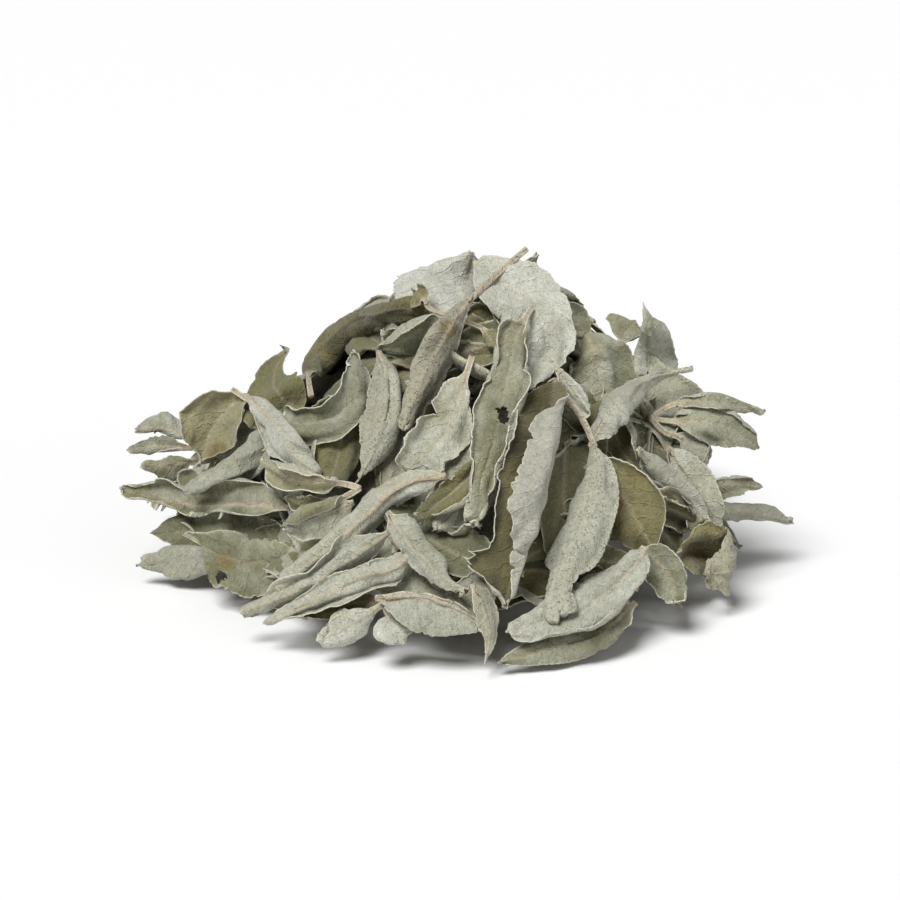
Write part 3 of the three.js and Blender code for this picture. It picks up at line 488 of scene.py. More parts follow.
    def solid(self):
        """The closed leaf: its corners and its faces."""
        upper, lower = self.thickness()
        above, below = (upper, lower) if self.upper_is_top else (lower, upper)
        top = self.points + self.normals * above[..., None]
        bottom = self.points - self.normals * below[..., None]
        rows, columns = self.points.shape[:2]
        count = rows * columns
        index = np.arange(count).reshape(rows, columns)
        quads = np.stack([index[:-1, :-1], index[:-1, 1:], index[1:, 1:], index[1:, :-1]], axis=-1)
        quads = quads[self.kept_cells()]
        edges = np.concatenate([quads[:, [k, (k + 1) % 4]] for k in range(4)])
        forward = edges[:, 0] * count + edges[:, 1]
        backward = edges[:, 1] * count + edges[:, 0]
        rim = edges[~np.isin(forward, backward)]
        walls = np.stack([rim[:, 1], rim[:, 0], rim[:, 0] + count, rim[:, 1] + count], axis=1)
        corners = np.concatenate([top.reshape(-1, 3), bottom.reshape(-1, 3)])
        corners[:, 2] = np.maximum(corners[:, 2], LOWEST)
        return corners, np.concatenate([quads, quads[:, ::-1] + count, walls])

    def kept_cells(self):
        """The cells of the grid that aren't in a hole. Holes are placed on the photograph, in pixels."""
        keep = np.ones((self.points.shape[0] - 1, self.points.shape[1] - 1), bool)
        for px, py, radius in self.look.get("holes", ()):
            gap, angle = self.from_pixel(px, py)
            inside = gap < radius * (1 + 0.3 * noise(angle * 1.6, 0, self.seed + 11))
            keep &= ~(inside[:-1, :-1] & inside[1:, 1:])
        return keep

    def from_pixel(self, px, py):
        x, y, _ = PHOTO.see(self.points)
        dx, dy = x * PIXELS_PER_MM + PICTURE_CENTRE - px, PICTURE_CENTRE - y * PIXELS_PER_MM - py
        return np.hypot(dx, dy), np.arctan2(dy, dx)

    def felt(self):
        """What the colour depends on at each corner, and the leaf's own coordinates for its veins."""
        look = self.look
        spot = np.zeros(self.share.shape)
        for px, py, radius in look.get("spots", ()):
            gap, angle = self.from_pixel(px, py)
            gap = gap * (1 + 0.3 * noise(angle, 0, self.seed))
            spot = np.maximum(spot, 1 - smooth(gap, radius * 0.5, radius * 1.3))
        rib = self.rib * look["rib_tint"] * (1 - 0.5 * self.share)
        masks = {
            "warm": look["warm"] + 0.3 * self.noise(13, 7, 12),
            "tone": look["tone"] + 0.3 * self.noise(17, 9, 13),
            "rib": np.maximum(rib, self.petiole * 0.9),
            "rim": (1 - smooth(self.rim, 0.05, 0.5)) * look["rim_tint"],
            "spot": spot,
            "pits": np.full(spot.shape, look.get("pits", 0.45)),
        }
        masks = {name: np.tile(values.reshape(-1), 2) for name, values in masks.items()}
        half = self.points.shape[0] * self.points.shape[1]
        below = np.repeat([0.0, 1.0] if self.upper_is_top else [1.0, 0.0], half)
        masks["below"] = below * look.get("below", 0.4)
        across = np.where(self.t > 0, self.out, -self.out)
        uv = np.stack([self.along / 100, across / 100 + 0.5 + self.seed % 7], axis=-1).reshape(-1, 2)
        return masks, np.tile(uv, (2, 1))

    def part(self):
        return *self.solid(), *self.felt()


def make_object(name, parts, material):
    """One mesh object of several leaves."""
    vertices = np.concatenate([part[0] for part in parts]) * MM
    starts = np.cumsum([0] + [len(part[0]) for part in parts[:-1]])
    faces = np.concatenate([part[1] + start for part, start in zip(parts, starts)])
    mesh = bpy.data.meshes.new(name)
    mesh.from_pydata(vertices, [], faces, shade_flat=False)
    mesh.validate()
    for mask in parts[0][2]:
        values = np.concatenate([part[2][mask] for part in parts]).astype(np.float32)
        mesh.attributes.new(mask, "FLOAT", "POINT").data.foreach_set("value", values)
    uv = np.concatenate([part[3] for part in parts])[faces.reshape(-1)]
    mesh.uv_layers.new(name="leaf").data.foreach_set("uv", uv.astype(np.float32).reshape(-1))
    mesh.materials.append(material)
    return placed(name, mesh)


# The felt. Each finish has its own colours, light and in the shade, and they share specks, veins and bump.

FINISHES = {
    "pale": ((0.57, 0.575, 0.49), (0.235, 0.238, 0.145)),
    "grey": ((0.465, 0.472, 0.39), (0.175, 0.175, 0.10)),
    "sage": ((0.395, 0.395, 0.295), (0.13, 0.128, 0.058)),
    "ochre": ((0.31, 0.29, 0.175), (0.13, 0.115, 0.045)),
    "olive": ((0.15, 0.137, 0.066), (0.058, 0.05, 0.018)),
    "brown": ((0.27, 0.235, 0.155), (0.10, 0.078, 0.036)),
}
BELOW = (0.58, 0.575, 0.49)
WARM = (0.28, 0.25, 0.105)
RIB = (0.50, 0.43, 0.30)
RIM = (0.72, 0.69, 0.54)
SPOT = (0.20, 0.16, 0.065)

# Marks of the felt: how many lie in a metre.
PATCHES = 55.0
BLOTCHES = 90.0
MOTTLES = 600.0
PITS = 950.0
GRAINS = 2600.0

# Side veins on a leaf's own coordinates, in tenths of a metre.
VEIN_STEP = 0.052
VEIN_SLANT = 0.8


class Nodes:
    """Short calls for building one material's nodes."""

    def __init__(self, tree):
        self.tree = tree

    def add(self, kind, inputs=(), **settings):
        node = self.tree.nodes.new(kind)
        for key, value in settings.items():
            setattr(node, key, value)
        for socket, value in dict(inputs).items():
            self.put(node.inputs[socket], value)
        return node

    def put(self, socket, value):
        if isinstance(value, bpy.types.NodeSocket):
            self.tree.links.new(value, socket)
        elif isinstance(value, tuple) and len(value) == 3 and socket.type == "RGBA":
            socket.default_value = (*value, 1)
        else:
            socket.default_value = value

    def mask(self, name):
        return self.add("ShaderNodeAttribute", attribute_name=name).outputs["Fac"]

    def math(self, operation, a, b=0.0, clamp=False):
        return self.add("ShaderNodeMath", {0: a, 1: b}, operation=operation, use_clamp=clamp).outputs[0]

    def ranged(self, value, low, high, to_low=0.0, to_high=1.0):
        inputs = {0: value, 1: low, 2: high, 3: to_low, 4: to_high}
        return self.add("ShaderNodeMapRange", inputs, clamp=True).outputs[0]

    def mix(self, factor, a, b, blend="MIX"):
        inputs = {0: factor, 6: a, 7: b}
        return self.add("ShaderNodeMix", inputs, data_type="RGBA", blend_type=blend).outputs[2]

    def noise(self, place, scale, detail=2.0, rough=0.5):
        inputs = {"Vector": place, "Scale": scale, "Detail": detail, "Roughness": rough}
        return self.add("ShaderNodeTexNoise", inputs).outputs["Fac"]


def vein_height(n):
    """Side veins that run forward from the midrib, from the leaf's own coordinates."""
    uv = n.add("ShaderNodeUVMap", uv_map="leaf").outputs[0]
    split = n.add("ShaderNodeSeparateXYZ", {0: uv})
    across = n.math("ABSOLUTE", n.math("SUBTRACT", n.math("FRACT", split.outputs[1]), 0.5))
    wobble = n.math("MULTIPLY", n.noise(uv, 30.0, 3.0), 0.05)
    along = n.math("ADD", split.outputs[0], wobble)
    forward = n.math("SUBTRACT", along, n.math("MULTIPLY", across, VEIN_SLANT))
    band = n.math("FRACT", n.math("DIVIDE", forward, VEIN_STEP))
    near = n.math("ABSOLUTE", n.math("SUBTRACT", band, 0.5))
    return n.ranged(near, 0.0, 0.09, 1.0, 0.0)


def felt_colour(n, colours, place, veins):
    """A leaf's colour from its masks, without its pits and specks."""
    leaf, in_shade = colours
    blotches = n.ranged(n.noise(place, BLOTCHES, 3.0, 0.6), 0.35, 0.7, -0.25, 0.45)
    # the tone mask holds each leaf's own darker tone and, for hidden leaves and gap leaves, painted shade
    shade = n.math("ADD", n.mask("tone"), blotches, clamp=True)
    patches = n.ranged(n.noise(place, PATCHES, 2.0), 0.45, 0.75, -0.1, 0.4)
    warm = n.math("ADD", n.mask("warm"), patches, clamp=True)
    colour = n.mix(shade, leaf, in_shade)
    colour = n.mix(n.math("MULTIPLY", warm, 0.8), colour, WARM)
    colour = n.mix(n.mask("below"), colour, BELOW)
    colour = n.mix(1.0, colour, n.ranged(veins, 0.0, 1.0, 1.0, 1.22), blend="MULTIPLY")
    for mask, tint in (("spot", SPOT), ("rib", RIB), ("rim", RIM)):
        colour = n.mix(n.mask(mask), colour, tint)
    return colour


def pit_marks(n, place):
    """Small pits in the felt, at uneven places."""
    wander = n.add("ShaderNodeTexNoise", {"Vector": place, "Scale": 300.0, "Detail": 1.0}).outputs["Color"]
    wandering = n.add("ShaderNodeMix", {0: 0.0012, 4: place, 5: wander}, data_type="VECTOR").outputs[1]
    pit = n.add("ShaderNodeTexVoronoi", {"Vector": wandering, "Scale": PITS}).outputs["Distance"]
    return n.math("MULTIPLY", n.ranged(pit, 0.1, 0.34, 1.0, 0.0), n.mask("pits"))


def felt_material(name, colours):
    material = bpy.data.materials.new("felt_" + name)
    material.use_nodes = True
    material.node_tree.nodes.clear()
    n = Nodes(material.node_tree)
    place = n.add("ShaderNodeTexCoord").outputs["Object"]
    fine = n.noise(place, MOTTLES, 3.0, 0.6)
    grain = n.noise(place, GRAINS, 2.0, 0.6)
    veins = vein_height(n)
    pit = pit_marks(n, place)

    unpitted = n.math("SUBTRACT", 1.0, n.math("MULTIPLY", pit, 0.38))
    specks = n.math("MULTIPLY", n.ranged(grain, 0.38, 0.62, 0.80, 1.10), unpitted)
    darker = n.math("MULTIPLY", n.ranged(fine, 0.3, 0.7, 0.84, 1.1), specks)
    colour = n.mix(1.0, felt_colour(n, colours, place, veins), darker, blend="MULTIPLY")

    height = n.math("ADD", n.math("MULTIPLY", grain, 0.25), n.math("MULTIPLY", fine, 0.8))
    height = n.math("ADD", height, n.math("MULTIPLY", veins, 0.4))
    height = n.math("SUBTRACT", height, n.math("MULTIPLY", pit, 0.6))
    bump = n.add("ShaderNodeBump", {"Strength": 1.0, "Distance": 0.0006, "Height": height})
    shader = n.add("ShaderNodeBsdfPrincipled", {
        "Base Color": colour, "Normal": bump.outputs[0], "Roughness": 0.92, "Specular IOR Level": 0.15,
        "Sheen Weight": 0.25, "Sheen Roughness": 0.6})
    n.add("ShaderNodeOutputMaterial", {"Surface": shader.outputs[0]})
    return material


MATERIALS = {name: felt_material(name, colours) for name, colours in FINISHES.items()}


def traced(*first, **rest):
    """A look whose first values come without their names."""
    return {**dict(zip(("stalk", "tone", "warm", "roll", "grow"), first)), **rest}


# How the lone leaves look. stalk is the way on the photograph from a leaf's tip to its stalk, tone darkens
# the leaf and warm yellows it, and the tints are of its rim and rib. Pairs are for its left and its right
# side, seen from its stalk to its tip: roll is how far a side turns towards the viewer, in degrees, and
# grow how much wider it is than in the frame, in mm. A notch has a place along the leaf, a side, a depth
# and a size, as shares of it, and where its depth is negative it is a lobe. Spots and holes are places on
# the photograph, in pixels, with a radius. under says that the face below the leaf shows.
LOOKS = {
    "leaf_back_round": traced((0, -1), -0.7, -0.6, (0, 0), (0, 0.5), notches=((0.16, 1, -0.45, 0.12),),
        ripple=0.5, ragged=0.9, under=False, tip_lift=0, fold=0),
    "leaf_back_left": traced((0, 1), 0.55, 0.35, (40, 20), (0, 0), point=0.45, tip_lift=-3),
    "leaf_right_tall": traced((0, 1), -0.5, -0.2, (10, 20), (0, 1.0), point=0.12, fold=0),
    "leaf_creamy_broad": traced((0, -1), -0.1, 0.2, (50, 150), (0, 1.6)),
    "leaf_ochre_fold": traced((1, -1), -0.3, 0.4, (30, 20), (2.0, 2.5), fold=12, spots=((219, 451, 11),),
        ragged=0.8, under=False),
    "leaf_under_swirl": traced((0, -1), 0.45, 0.1, rim_tint=1.0, ragged=0.9),
    "leaf_trough_left": traced((1, 0), 0.5, 0.15, (60, 110), (0, 2.0), rim_tint=0.9, ragged=0.8,
        under=False),
    "leaf_diagonal_rolled": traced((1, -1), 0.05, -0.4, (-90, -80), (0.8, 0.8), rim_tint=0.2, fold=-15,
        under=True, rib_tint=0.1),
    "leaf_arched": traced((-1, 1), 0.8, 0.35, (-40, -60), (0, 0.8), pits=1.0, fold=-20, ragged=0.9,
        rim_tint=0.35, rib_tint=0.1, under=False, below=0.0),
    "leaf_swirl": traced((-1, 0), 0.1, 0.0, (60, 40), (0, 0), rim_tint=1.0, under=False, ripple=1.2),
    "leaf_swirl_roll": traced((-1, -1), -0.1, -0.2, (-60, 120), (0.4, 1.6), rib_tint=1.0, under=True),
    "leaf_big_pale": traced((-1, -2), -0.2, -0.5, (15, -30), (0, 0), ragged=0.9, ripple=0.8, under=True),
    "leaf_left_wing": traced((1, -1), 0.5, 0.2, (40, 160), (0, 2.8), rim_tint=1.0),
    "leaf_speckled": traced((0, -1), 0.3, 0.25, (-110, 70), (1.2, 0.4), pits=0.8, ragged=0.9, under=True,
        rib_tint=0.2, point=0.25),
    "leaf_long_stalk": traced((1, -1), 0.3, 0.45, (70, -100), (0, 0.8), pits=1.0, ragged=1.3,
        spots=((448, 330, 9),), rib_tint=0.8, under=True),
    "leaf_notched": traced((1, -1), -0.05, 0.3, (60, 50), (0, 0), rim_tint=1.0,
        notches=((0.55, 1, 0.5, 0.035), (0.8, -1, 0.2, 0.02)), under=False, ripple=1.6, ragged=0.7),
    "leaf_two_lobed": traced((1, -1), 0.35, 0.1, rim_tint=1.0),
    "leaf_hole": traced((1, 0), 0.3, 0.05, (30, -20), (-2.4, -1.4), holes=((222, 577, 7),),
        spots=((226, 563, 9),), ragged=1.2, blunt=True, slant=-0.16, fold=14, under=False, rim_tint=0.8),
    "leaf_pale_under": traced((1, -1), -0.3, -0.4),
    "leaf_dark_brown": traced((1, -1), 1.0, 0.4, ragged=1.2),
    "leaf_long_midrib": traced((1, -1), 0.15, 0.1, (70, -60), (0.8, 0.8), rib_tint=1.0, rib_width=0.9,
        rib_height=0.8, under=True, fold=-20),
    "leaf_cream_edge": traced((1, 0), 0.5, 0.4, rim_tint=1.0, under=False),
    "leaf_tube_left": traced((1, -1), 0.2, 0.15, (170, 190), (1.6, 4.0), rim_tint=0.9, ragged=0.8,
        under=True),
    "leaf_tube_low": traced((1, -1), 0.2, 0.15, (190, 120), (4.0, 1.2), rim_tint=0.9, ragged=0.8,
        under=True),
    "leaf_front_midrib": traced((-1, 0), 0.4, 0.05, (30, -20), (0, 0), rib_tint=1.0, rib_width=0.8,
        rib_height=0.8, under=True, ragged=1.3, notches=((0.35, -1, 0.35, 0.03),)),
    "leaf_flat_felt": traced((-1, -1), 0.45, 0.0, (-60, 25), (-0.6, -0.8), rib_tint=0.5, ragged=0.9,
        under=True, fold=-22, rib_height=0.3, point=0.3),
    "leaf_tall_rolled": traced((0, -1), 0.15, 0.1, (150, 130), (2.8, 2.4), rim_tint=1.0, ripple=1.9,
        holes=((503, 415, 8),), ragged=0.8, under=False),
    "leaf_wavy_trough": traced((-1, -1), 0.4, 0.1, (80, 60), (1.6, 1.6), rim_tint=1.0, ripple=2.4,
        under=False),
    "leaf_diagonal_right": traced((-1, 1), 0.0, 0.0, (-40, -80), (0, 0.8), point=0.4, under=True),
    "leaf_broad_light": traced((-1, -1), -0.1, 0.05, (25, 170), (0, 2.0), under=True),
    "leaf_smooth_tube": traced((-1, -1), 0.15, -0.1, (-120, 170), (0.8, 3.2), rim_tint=0.8, under=True),
    "leaf_olive_mottled": traced((-1, -1), 0.1, 0.3, (30, 20), (0, 0),
        spots=((616, 500, 13), (632, 470, 8)), rim_tint=1.0, ripple=1.9, under=False),
    "leaf_brown_cup": traced((-1, 0), -0.1, 1.1, (20, 20), (0, 0), ragged=1.3, rim_tint=0.4, pits=1.0),
    "leaf_right_foot": traced((0, -1), 0.15, -0.2, (60, 150), (0, 1.6), rim_tint=1.0, blunt=True),
    "leaf_bottom_crenulate": traced((1, -1), 0.2, 0.1, (20, 60), (0, 0.4), rim_tint=0.8, ragged=1.0,
        under=False),
    "leaf_bottom_lying": traced((1, -1), 0.15, 0.0, (170, -60), (2.0, 0.8), rim_tint=0.6, under=True,
        blunt=True),
    "leaf_edge_on": traced((-1, -1), 0.0, 0.1, rim_tint=1.0),
    "leaf_brown_stalk": traced((0, -1), 0.05, -0.1, (50, -60), (-2.5, -0.8), under=True, rib_tint=0.15,
        rib_height=0.15, pits=0.8, fold=-12, tip_lift=2, rim_tint=0.35, blunt=True, tip=0.05,
        notches=((0.87, -1, 0.55, 0.07), (0.86, 1, 0.35, 0.06))),
    "leaf_main_centre": traced((0, -1), 0.1, 0.2, (82, 60), (7.0, 0.5), half_cells=22, roll_soft=0.09,
        under=False, below=0.65, ragged=1.6, rim_tint=0.9, rib_tint=0.15, ripple=0.8,
        holes=((503, 594, 2.5),),
        notches=((0.6, -1, -0.45, 0.08), (0.8, -1, 0.45, 0.08), (0.88, 1, -2.2, 0.07))),
    "leaf_pointed_tip": traced((0, -1), 0.5, 0.4, (30, 40), (0, 0), point=0.5),
}

# How the leaves of some sprigs differ from the others.
SPRIG_LOOKS = {
    "sprig_yellow_edge": {"warm": 0.5, "rim_tint": 1.0},
    "sprig_front_left": {"tone": -0.05, "rim_tint": 1.0, "ragged": 1.2},
    "sprig_right_back": {"tone": 0.3, "warm": 0.35},
    "sprig_far_left": {"tone": 0.3, "ragged": 1.0},
    "sprig_left_low": {"tone": 0.15, "warm": -0.3},
    "sprig_small_right": {"tone": 0.0, "rim_tint": 0.8},
    "sprig_short_stalk": {"tone": 0.5, "warm": 0.3},
    "sprig_right_upper": {"tone": 0.1, "roll": (150, 60), "grow": (2.4, 0)},
    "sprig_right_low": {"tone": -0.1},
}
# Cells of the fine grids: their length in mm, and how many lie across half a blade.
LONE_CELL, LONE_HALF_CELLS = 0.8, 14
SPRIG_CELL, SPRIG_HALF_CELLS = 1.1, 8
HEAP_MIDDLE = np.array([0.0, 0.0, 15.0])


def leaves_of(name, seed):
    """The fine leaves of one node."""
    corners, triangles = weld(frame["nodes"][name].data)
    if name in LOOKS:
        look = {**seeded_look(seed), **LOOKS[name]}
        grid = read_lone(corners, triangles, look["stalk"])
        return [FineLeaf(grid, look, LONE_CELL, LONE_HALF_CELLS, seed, PHOTO.to_eye)]
    leaves = []
    for k, grid in enumerate(read_sprig(corners, triangles)):
        look = {**seeded_look(seed + 31 * k, 0.8), **SPRIG_LOOKS.get(name, {"tone": 0.35})}
        outward = grid.mean(axis=(0, 1)) - HEAP_MIDDLE
        leaves.append(FineLeaf(grid, look, SPRIG_CELL, SPRIG_HALF_CELLS, seed + 31 * k, outward))
    return leaves


NODE_LEAVES = {subpart["node"]: leaves_of(subpart["node"], 100 + 7 * number)
               for number, subpart in enumerate(frame["record"]["subparts"])}
HEAP = [leaf for leaves in NODE_LEAVES.values() for leaf in leaves]


# More leaves: they close the gaps that are seen in the photograph's view, and cover the back, the sides and
# the top. Each is laid on a map of how near the heap lies to the viewer, like a stiff cloth on a hill.
# Bends are in radians, and the steepest slope is a share of the way.

MAP_CELL = 1.0
MAP_REACH = 150
FAR = -400.0
CLEARANCE = 1.3
OUTER_DEPTH = 10
INNER_GAP = 5.0
PAST_BOX = 3
PAST_OVAL = 1.04
EXTRA_PROFILE = np.array([0.14, 0.5, 0.86, 1.0, 0.9, 0.62, 0.16])
EXTRA_CELL, EXTRA_HALF_CELLS = 1.2, 7
EXTRA_LENGTH = (52, 78)
EXTRA_WIDTH = (13, 24)
EXTRA_BEND = 0.6
STEEPEST = 2.2
DRAPE_ROUNDS = 14
GAP_REACH = 9
DOME_REACH = 14
TRIES = 3


def shifted(values, down, right, empty):
    """A map moved by a cell, with a value for what comes in at its edges."""
    rows, columns = values.shape
    padded = np.pad(values, 1, constant_values=empty)
    return padded[1 - down:1 - down + rows, 1 - right:1 - right + columns]


def neighbours(values, empty):
    return [shifted(values, down, right, empty) for down, right in ((1, 0), (-1, 0), (0, 1), (0, -1))]


def spread_out(values, reach):
    """Each cell takes the highest value within reach, in steps of a cell that make an eight-sided reach."""
    highest = values
    for step in range(int(reach / MAP_CELL)):
        near = neighbours(highest, FAR)
        if step % 2:
            near += [shifted(row, 0, way, FAR) for row in near[:2] for way in (1, -1)]
        highest = np.maximum.reduce([highest] + near)
    return highest


class NearMap:
    """How near the heap's surface lies, seen from one side, in cells of a millimetre."""

    def __init__(self, view, leaves):
        self.view = view
        size = 2 * MAP_REACH
        self.near = np.full((size, size), FAR)
        for leaf in leaves:
            self.add(leaf)

    def cells(self, x, y):
        limit = 2 * MAP_REACH - 1
        return (np.clip(np.floor(y / MAP_CELL + MAP_REACH).astype(int), 0, limit),
                np.clip(np.floor(x / MAP_CELL + MAP_REACH).astype(int), 0, limit))

    def add(self, leaf):
        x, y, near = self.view.see(leaf.points.reshape(-1, 3))
        for dx, dy in ((0, 0), (0.5, 0), (0, 0.5), (0.5, 0.5)):
            np.maximum.at(self.near, self.cells(x + dx, y + dy), near)

    def share_seen(self, leaf, margin=0.5):
        """Which share of a leaf is nearer than the map's surface by a margin."""
        x, y, near = self.view.see(leaf.points.reshape(-1, 3))
        return (near > self.near[self.cells(x, y)] + margin).mean()

    def floor(self, x, y, height):
        """How near the plane at a height above the floor lies."""
        v = self.view
        return (height - v.aim[2] - v.up[2] * y) / (v.to_eye[2] - v.up[2] * y / VIEW_DISTANCE)


def plan_leaf(x, y, angle, length, width, bend):
    """A flat leaf on the picture plane: where its rows of points show."""
    places = np.linspace(-0.5, 0.5, len(EXTRA_PROFILE))
    heading = angle + bend * places
    step = length / (len(places) - 1)
    spine_x = x + np.cumsum(np.cos(heading)) * step
    spine_y = y + np.cumsum(np.sin(heading)) * step
    spine_x += x - spine_x.mean()
    spine_y += y - spine_y.mean()
    sideways = np.linspace(1, -1, LEAF_COLUMNS)[None, :] * EXTRA_PROFILE[:, None] * width / 2
    return (spine_x[:, None] - np.sin(heading)[:, None] * sideways,
            spine_y[:, None] + np.cos(heading)[:, None] * sideways)


def drape(need, x, y):
    """Nearness of a stiff leaf that lies on what it has to clear."""
    known = need > FAR / 2
    if known.sum() < 8:
        return None, None
    plan = np.stack([np.ones(need.size), x.reshape(-1), y.reshape(-1)], axis=1)
    slope = np.linalg.lstsq(plan[known.reshape(-1)], need[known], rcond=None)[0]
    flat = (plan @ slope).reshape(need.shape)
    rest = np.where(known, need - flat, -30.0)
    level = np.maximum(rest, np.median(rest[known]))
    for _ in range(DRAPE_ROUNDS):
        padded = np.pad(level, 1, mode="edge")
        mean = (padded[:-2, 1:-1] + padded[2:, 1:-1] + padded[1:-1, :-2] + padded[1:-1, 2:]) / 4
        level = np.maximum(rest, mean)
    return flat + level, slope[1:]


def lay_leaf(field, blocked, sign, x, y, size, draw, seed, look):
    """A leaf laid at a place, on top of the heap with sign 1 and behind its outermost leaves with sign -1.
    There is none where the heap is too steep for it."""
    angle, length, width, bend = size
    for _ in range(2):
        px, py = plan_leaf(x, y, angle, length, width, bend)
        need = sign * blocked[field.cells(px, py)]
        near, slope = drape(need, px, py)
        if near is None or np.hypot(*slope) > STEEPEST:
            return None
        stretch = math.hypot(1, slope[0] * math.cos(angle) + slope[1] * math.sin(angle))
        length = length / stretch
    near = sign * near + sign * draw.uniform(0, 2.5) * np.linspace(-1, 1, LEAF_COLUMNS)[None, :] ** 2
    near = np.maximum(near, field.floor(px, py, FLOOR_GAP))
    points = field.view.point(px, py, near)
    return FineLeaf(points, look, EXTRA_CELL, EXTRA_HALF_CELLS, seed, field.view.to_eye)


def stays_on_heap(leaf):
    """Whether a leaf lies on the heap, neither past its sides nor apart from it on the floor."""
    low, high = (np.array(corner) / MM for corner in CAD_BOX)
    points = leaf.points.reshape(-1, 3)
    inside = (points.min(axis=0) > low - PAST_BOX).all() and (points.max(axis=0) < high + PAST_BOX).all()
    reach = (high - low)[:2] / 2
    return inside and np.hypot(*(points[:, :2] / reach).T).max() < PAST_OVAL


def first_fit(field, blocked, sign, row, column, draw, seed, make_look, allowed):
    """A new leaf at a cell of the map, from the first try that fits."""
    x, y = column - MAP_REACH + 0.5, row - MAP_REACH + 0.5
    for own in range(seed, seed + TRIES):
        look = make_look(own)
        size = (draw.uniform(0, 2 * math.pi), draw.uniform(*EXTRA_LENGTH), draw.uniform(*EXTRA_WIDTH),
                draw.uniform(-EXTRA_BEND, EXTRA_BEND))
        leaf = lay_leaf(field, blocked, sign, x, y, size, draw, own, look)
        if leaf is not None and stays_on_heap(leaf) and allowed(leaf):
            field.add(leaf)
            return leaf
    return None


def gap_spot(field, tried, draw):
    """The middle of the widest gap between the outermost leaves, and limits for what lies behind them."""
    filled = -spread_out(-spread_out(field.near, GAP_REACH), GAP_REACH)
    solid = filled > FAR / 2
    outer = field.near > filled - OUTER_DEPTH
    rest = solid & ~outer
    widths = np.zeros(rest.shape)
    while rest.any():
        widths += rest
        rest = np.logical_and.reduce([rest] + neighbours(rest, False))
    widths = np.where(tried, 0, widths + 0.5 * draw.random(widths.shape) * (widths > 0))
    row, column = np.unravel_index(np.argmax(widths), widths.shape)
    limit = np.where(outer, field.near - CLEARANCE, np.where(solid, filled - INNER_GAP, -FAR))
    return row, column, limit, widths[row, column]


def close_gaps(field, count, seed, allowed):
    """Leaves behind the outermost ones, each where the widest gap is seen, with a dark tone that is painted
    shade for the gaps between leaves.
    """
    draw = np.random.default_rng(seed)
    tried = np.zeros(field.near.shape, bool)
    added = []

    # painted shade: gap leaves are dark in place of the shadow between the outer leaves
    def gap_shade_look(own):
        return {**seeded_look(own, 0.75), "tone": draw.uniform(0.6, 1.2), "warm": draw.uniform(-0.3, 0.3)}

    for number in range(3 * count):
        row, column, limit, width = gap_spot(field, tried, draw)
        if len(added) == count or width < 1:
            break
        own = seed + TRIES * number
        leaf = first_fit(field, -spread_out(-limit, 2), -1, row, column, draw, own, gap_shade_look, allowed)
        if leaf:
            added.append(leaf)
        else:
            tried[row - 3:row + 4, column - 3:column + 4] = True
    return added


def curled_look(own):
    return seeded_look(own, 0.8)


def cover_side(field, count, seed, allowed):
    """Leaves on top of the others, each where the heap is most hollow or bare on one side."""
    draw = np.random.default_rng(seed)
    added = []
    tried = np.zeros(field.near.shape, bool)
    for number in range(2 * count):
        if len(added) == count:
            break
        dome = -spread_out(-spread_out(field.near, DOME_REACH), DOME_REACH)
        hollow = np.where((dome > FAR / 2) & ~tried, dome - field.near + 6 * draw.random(dome.shape), 0)
        row, column = np.unravel_index(np.argmax(np.minimum(hollow, 20 + hollow * 0.01)), hollow.shape)
        blocked = spread_out(field.near, 2) + CLEARANCE
        own = seed + TRIES * number
        leaf = first_fit(field, blocked, 1, row, column, draw, own, curled_look, allowed)
        if leaf:
            added.append(leaf)
        tried[max(row - 6, 0):row + 7, max(column - 6, 0):column + 7] = True
    return added


# Leaves and scraps seen behind others on the photograph: where their middles show, in pixels, the angle of
# their length, its size and their width in mm, and how they look.
SEEN_BEHIND = (
    (236, 432, 35, 40, 18, {"tone": 0.2, "warm": 0.3}),
    (228, 405, 12, 30, 11, {"tone": -0.4, "warm": -0.4}),
    (252, 452, 60, 30, 14, {"tone": 0.5, "warm": 0.2}),
    (618, 352, 80, 30, 17, {"tone": 0.5, "warm": 0.5}),
    (480, 345, 20, 30, 12, {"tone": 0.4, "warm": 0.1}),
    (602, 562, -10, 32, 8, {"tone": 0.0, "warm": 0.1, "rim_tint": 1.0}),
    (590, 590, 70, 20, 12, {"tone": -0.2, "warm": 0.0, "roll": (160, 30)}),
    (470, 590, 30, 24, 10, {"tone": 0.9, "warm": 0.3}),
    (168, 450, 5, 30, 10, {"tone": 0.8, "warm": 0.1}),
    (690, 455, 80, 34, 14, {"tone": 0.0, "warm": 0.1}),
    (454, 463, 60, 28, 12, {"tone": 0.7, "warm": 0.2}),
)


def seen_behind(field):
    """The leaves and scraps of the table, laid behind the outermost ones."""
    draw = np.random.default_rng(11)
    added = []
    for number, (px, py, angle, length, width, own) in enumerate(SEEN_BEHIND):
        limit = gap_spot(field, np.zeros(field.near.shape, bool), draw)[2]
        x, y = (px - PICTURE_CENTRE) / PIXELS_PER_MM, (PICTURE_CENTRE - py) / PIXELS_PER_MM
        look = {**seeded_look(2500 + number, 0.6), **own}
        size = (math.radians(angle), length, width, draw.uniform(-0.4, 0.4))
        leaf = lay_leaf(field, -spread_out(-limit, 2), -1, x, y, size, draw, 2500 + number, look)
        if leaf is not None:
            added.append(leaf)
            field.add(leaf)
    return added


# The sides that the heap is covered from: the direction in degrees, how many leaves lie on top of the
# others there and how many behind them.
SIDE_VIEWS = (
    (180, 32, 14, 10),
    (125, 28, 9, 6),
    (-125, 28, 9, 6),
    (80, 28, 7, 6),
    (-80, 28, 7, 6),
    (180, 70, 6, 5),
    (95, 8, 0, 7),
    (-95, 8, 0, 7),
    (180, 8, 0, 6),
    (0, 6, 0, 5),
)
EXTRA_FINISHES = ("pale", "grey", "grey", "sage", "sage", "grey", "ochre", "pale", "sage", "olive")


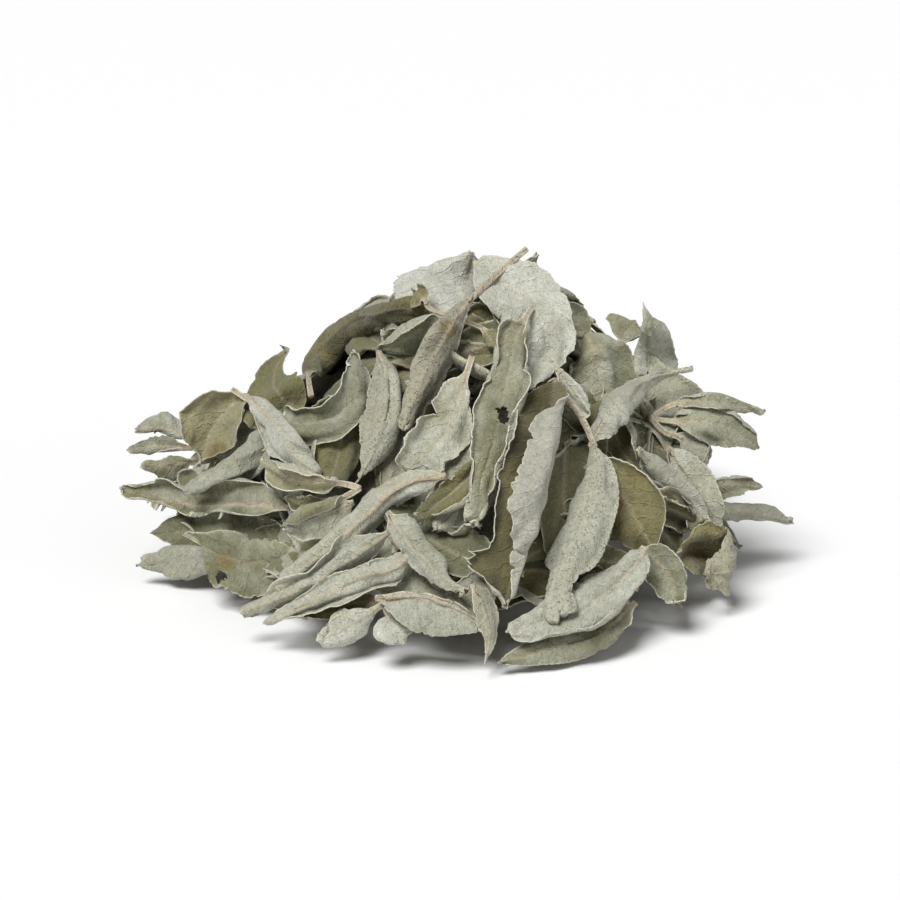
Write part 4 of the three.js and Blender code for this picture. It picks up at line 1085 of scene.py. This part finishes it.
def lay_extra_leaves():
    extras = seen_behind(NearMap(PHOTO, HEAP))
    extras += close_gaps(NearMap(PHOTO, HEAP + extras), 34, 3000, lambda leaf: True)
    photo_map = NearMap(PHOTO, HEAP + extras)

    def hidden(leaf):
        return photo_map.share_seen(leaf) < 0.05

    for number, (azimuth, elevation, on_top, behind) in enumerate(SIDE_VIEWS):
        field = NearMap(View(azimuth, elevation), HEAP + extras)
        extras += cover_side(field, on_top, 4000 + 200 * number, hidden)
        extras += close_gaps(field, behind, 6000 + 200 * number, hidden)
    return extras


def paint_inner_shade(leaves):
    """Painted shade: leaves that lie deep in the heap, hidden from every side, get a darker and warmer
    colour in place of the shade that falls on them.
    """
    views = [PHOTO] + [View(azimuth, elevation) for azimuth, elevation, _, _ in SIDE_VIEWS]
    maps = [NearMap(view, leaves) for view in views]
    for leaf in leaves:
        seen = max(field.share_seen(leaf, -1.5) for field in maps)
        inner = 1 - smooth(seen, 0.3, 0.8)
        # painted shade: the hidden share of each leaf raises its tone and warmth
        leaf.look["tone"] += 0.16 + 0.8 * inner
        leaf.look["warm"] += 0.1 * inner


def dress_heap():
    extras = lay_extra_leaves()
    # painted shade on the leaves hidden deep in the heap
    paint_inner_shade(HEAP + extras)
    for subpart in frame["record"]["subparts"]:
        name, finish = subpart["node"], subpart["material_slot"]
        piece = make_object("fine_" + name, [leaf.part() for leaf in NODE_LEAVES[name]], MATERIALS[finish])
        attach(piece, "root")
        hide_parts(name)
    for finish in FINISHES:
        chosen = [leaf.part() for leaf, own in zip(extras, cycle(EXTRA_FINISHES)) if own == finish]
        if chosen:
            piece = make_object("more_leaves_" + finish, chosen, MATERIALS[finish])
            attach(piece, "root")


dress_heap()


# The stage: a pale floor, and soft light from the upper left, the right and above. Each light has the way
# it comes from, its width in degrees and its strength.
FLOOR_HALF_SIZE = 3.0
FLOOR_COLOUR = (0.93, 0.93, 0.93, 1)
LIGHTS = {"key": ((-0.35, -0.5, 1.0), 28, 3.3), "fill": ((0.9, -0.6, 0.6), 60, 0.35)}
SKY_STRENGTH = 0.15


def make_floor():
    size = FLOOR_HALF_SIZE
    mesh = bpy.data.meshes.new("floor")
    corners = [(-size, -size, 0), (size, -size, 0), (size, size, 0), (-size, size, 0)]
    mesh.from_pydata(corners, [], [(0, 1, 2, 3)])
    material = bpy.data.materials.new("floor")
    material.use_nodes = True
    shader = material.node_tree.nodes["Principled BSDF"]
    shader.inputs["Base Color"].default_value = FLOOR_COLOUR
    shader.inputs["Roughness"].default_value = 0.9
    mesh.materials.append(material)
    placed("floor", mesh)


def soft_light(name, towards, angle, energy):
    """A wide light from far away, which lights the whole floor alike."""
    data = bpy.data.lights.new(name, "SUN")
    data.energy = energy
    data.angle = math.radians(angle)
    placed(name, data).rotation_euler = Vector(towards).to_track_quat("Z", "Y").to_euler()


def light_stage():
    make_floor()
    for name, (towards, angle, strength) in LIGHTS.items():
        soft_light(name, towards, angle, strength)
    world = bpy.data.worlds.new("world")
    bpy.context.scene.world = world
    world.use_nodes = True
    background = world.node_tree.nodes["Background"]
    background.inputs[0].default_value = (1, 1, 1, 1)
    background.inputs[1].default_value = SKY_STRENGTH
    bpy.context.scene.view_settings.view_transform = "Standard"


light_stage()
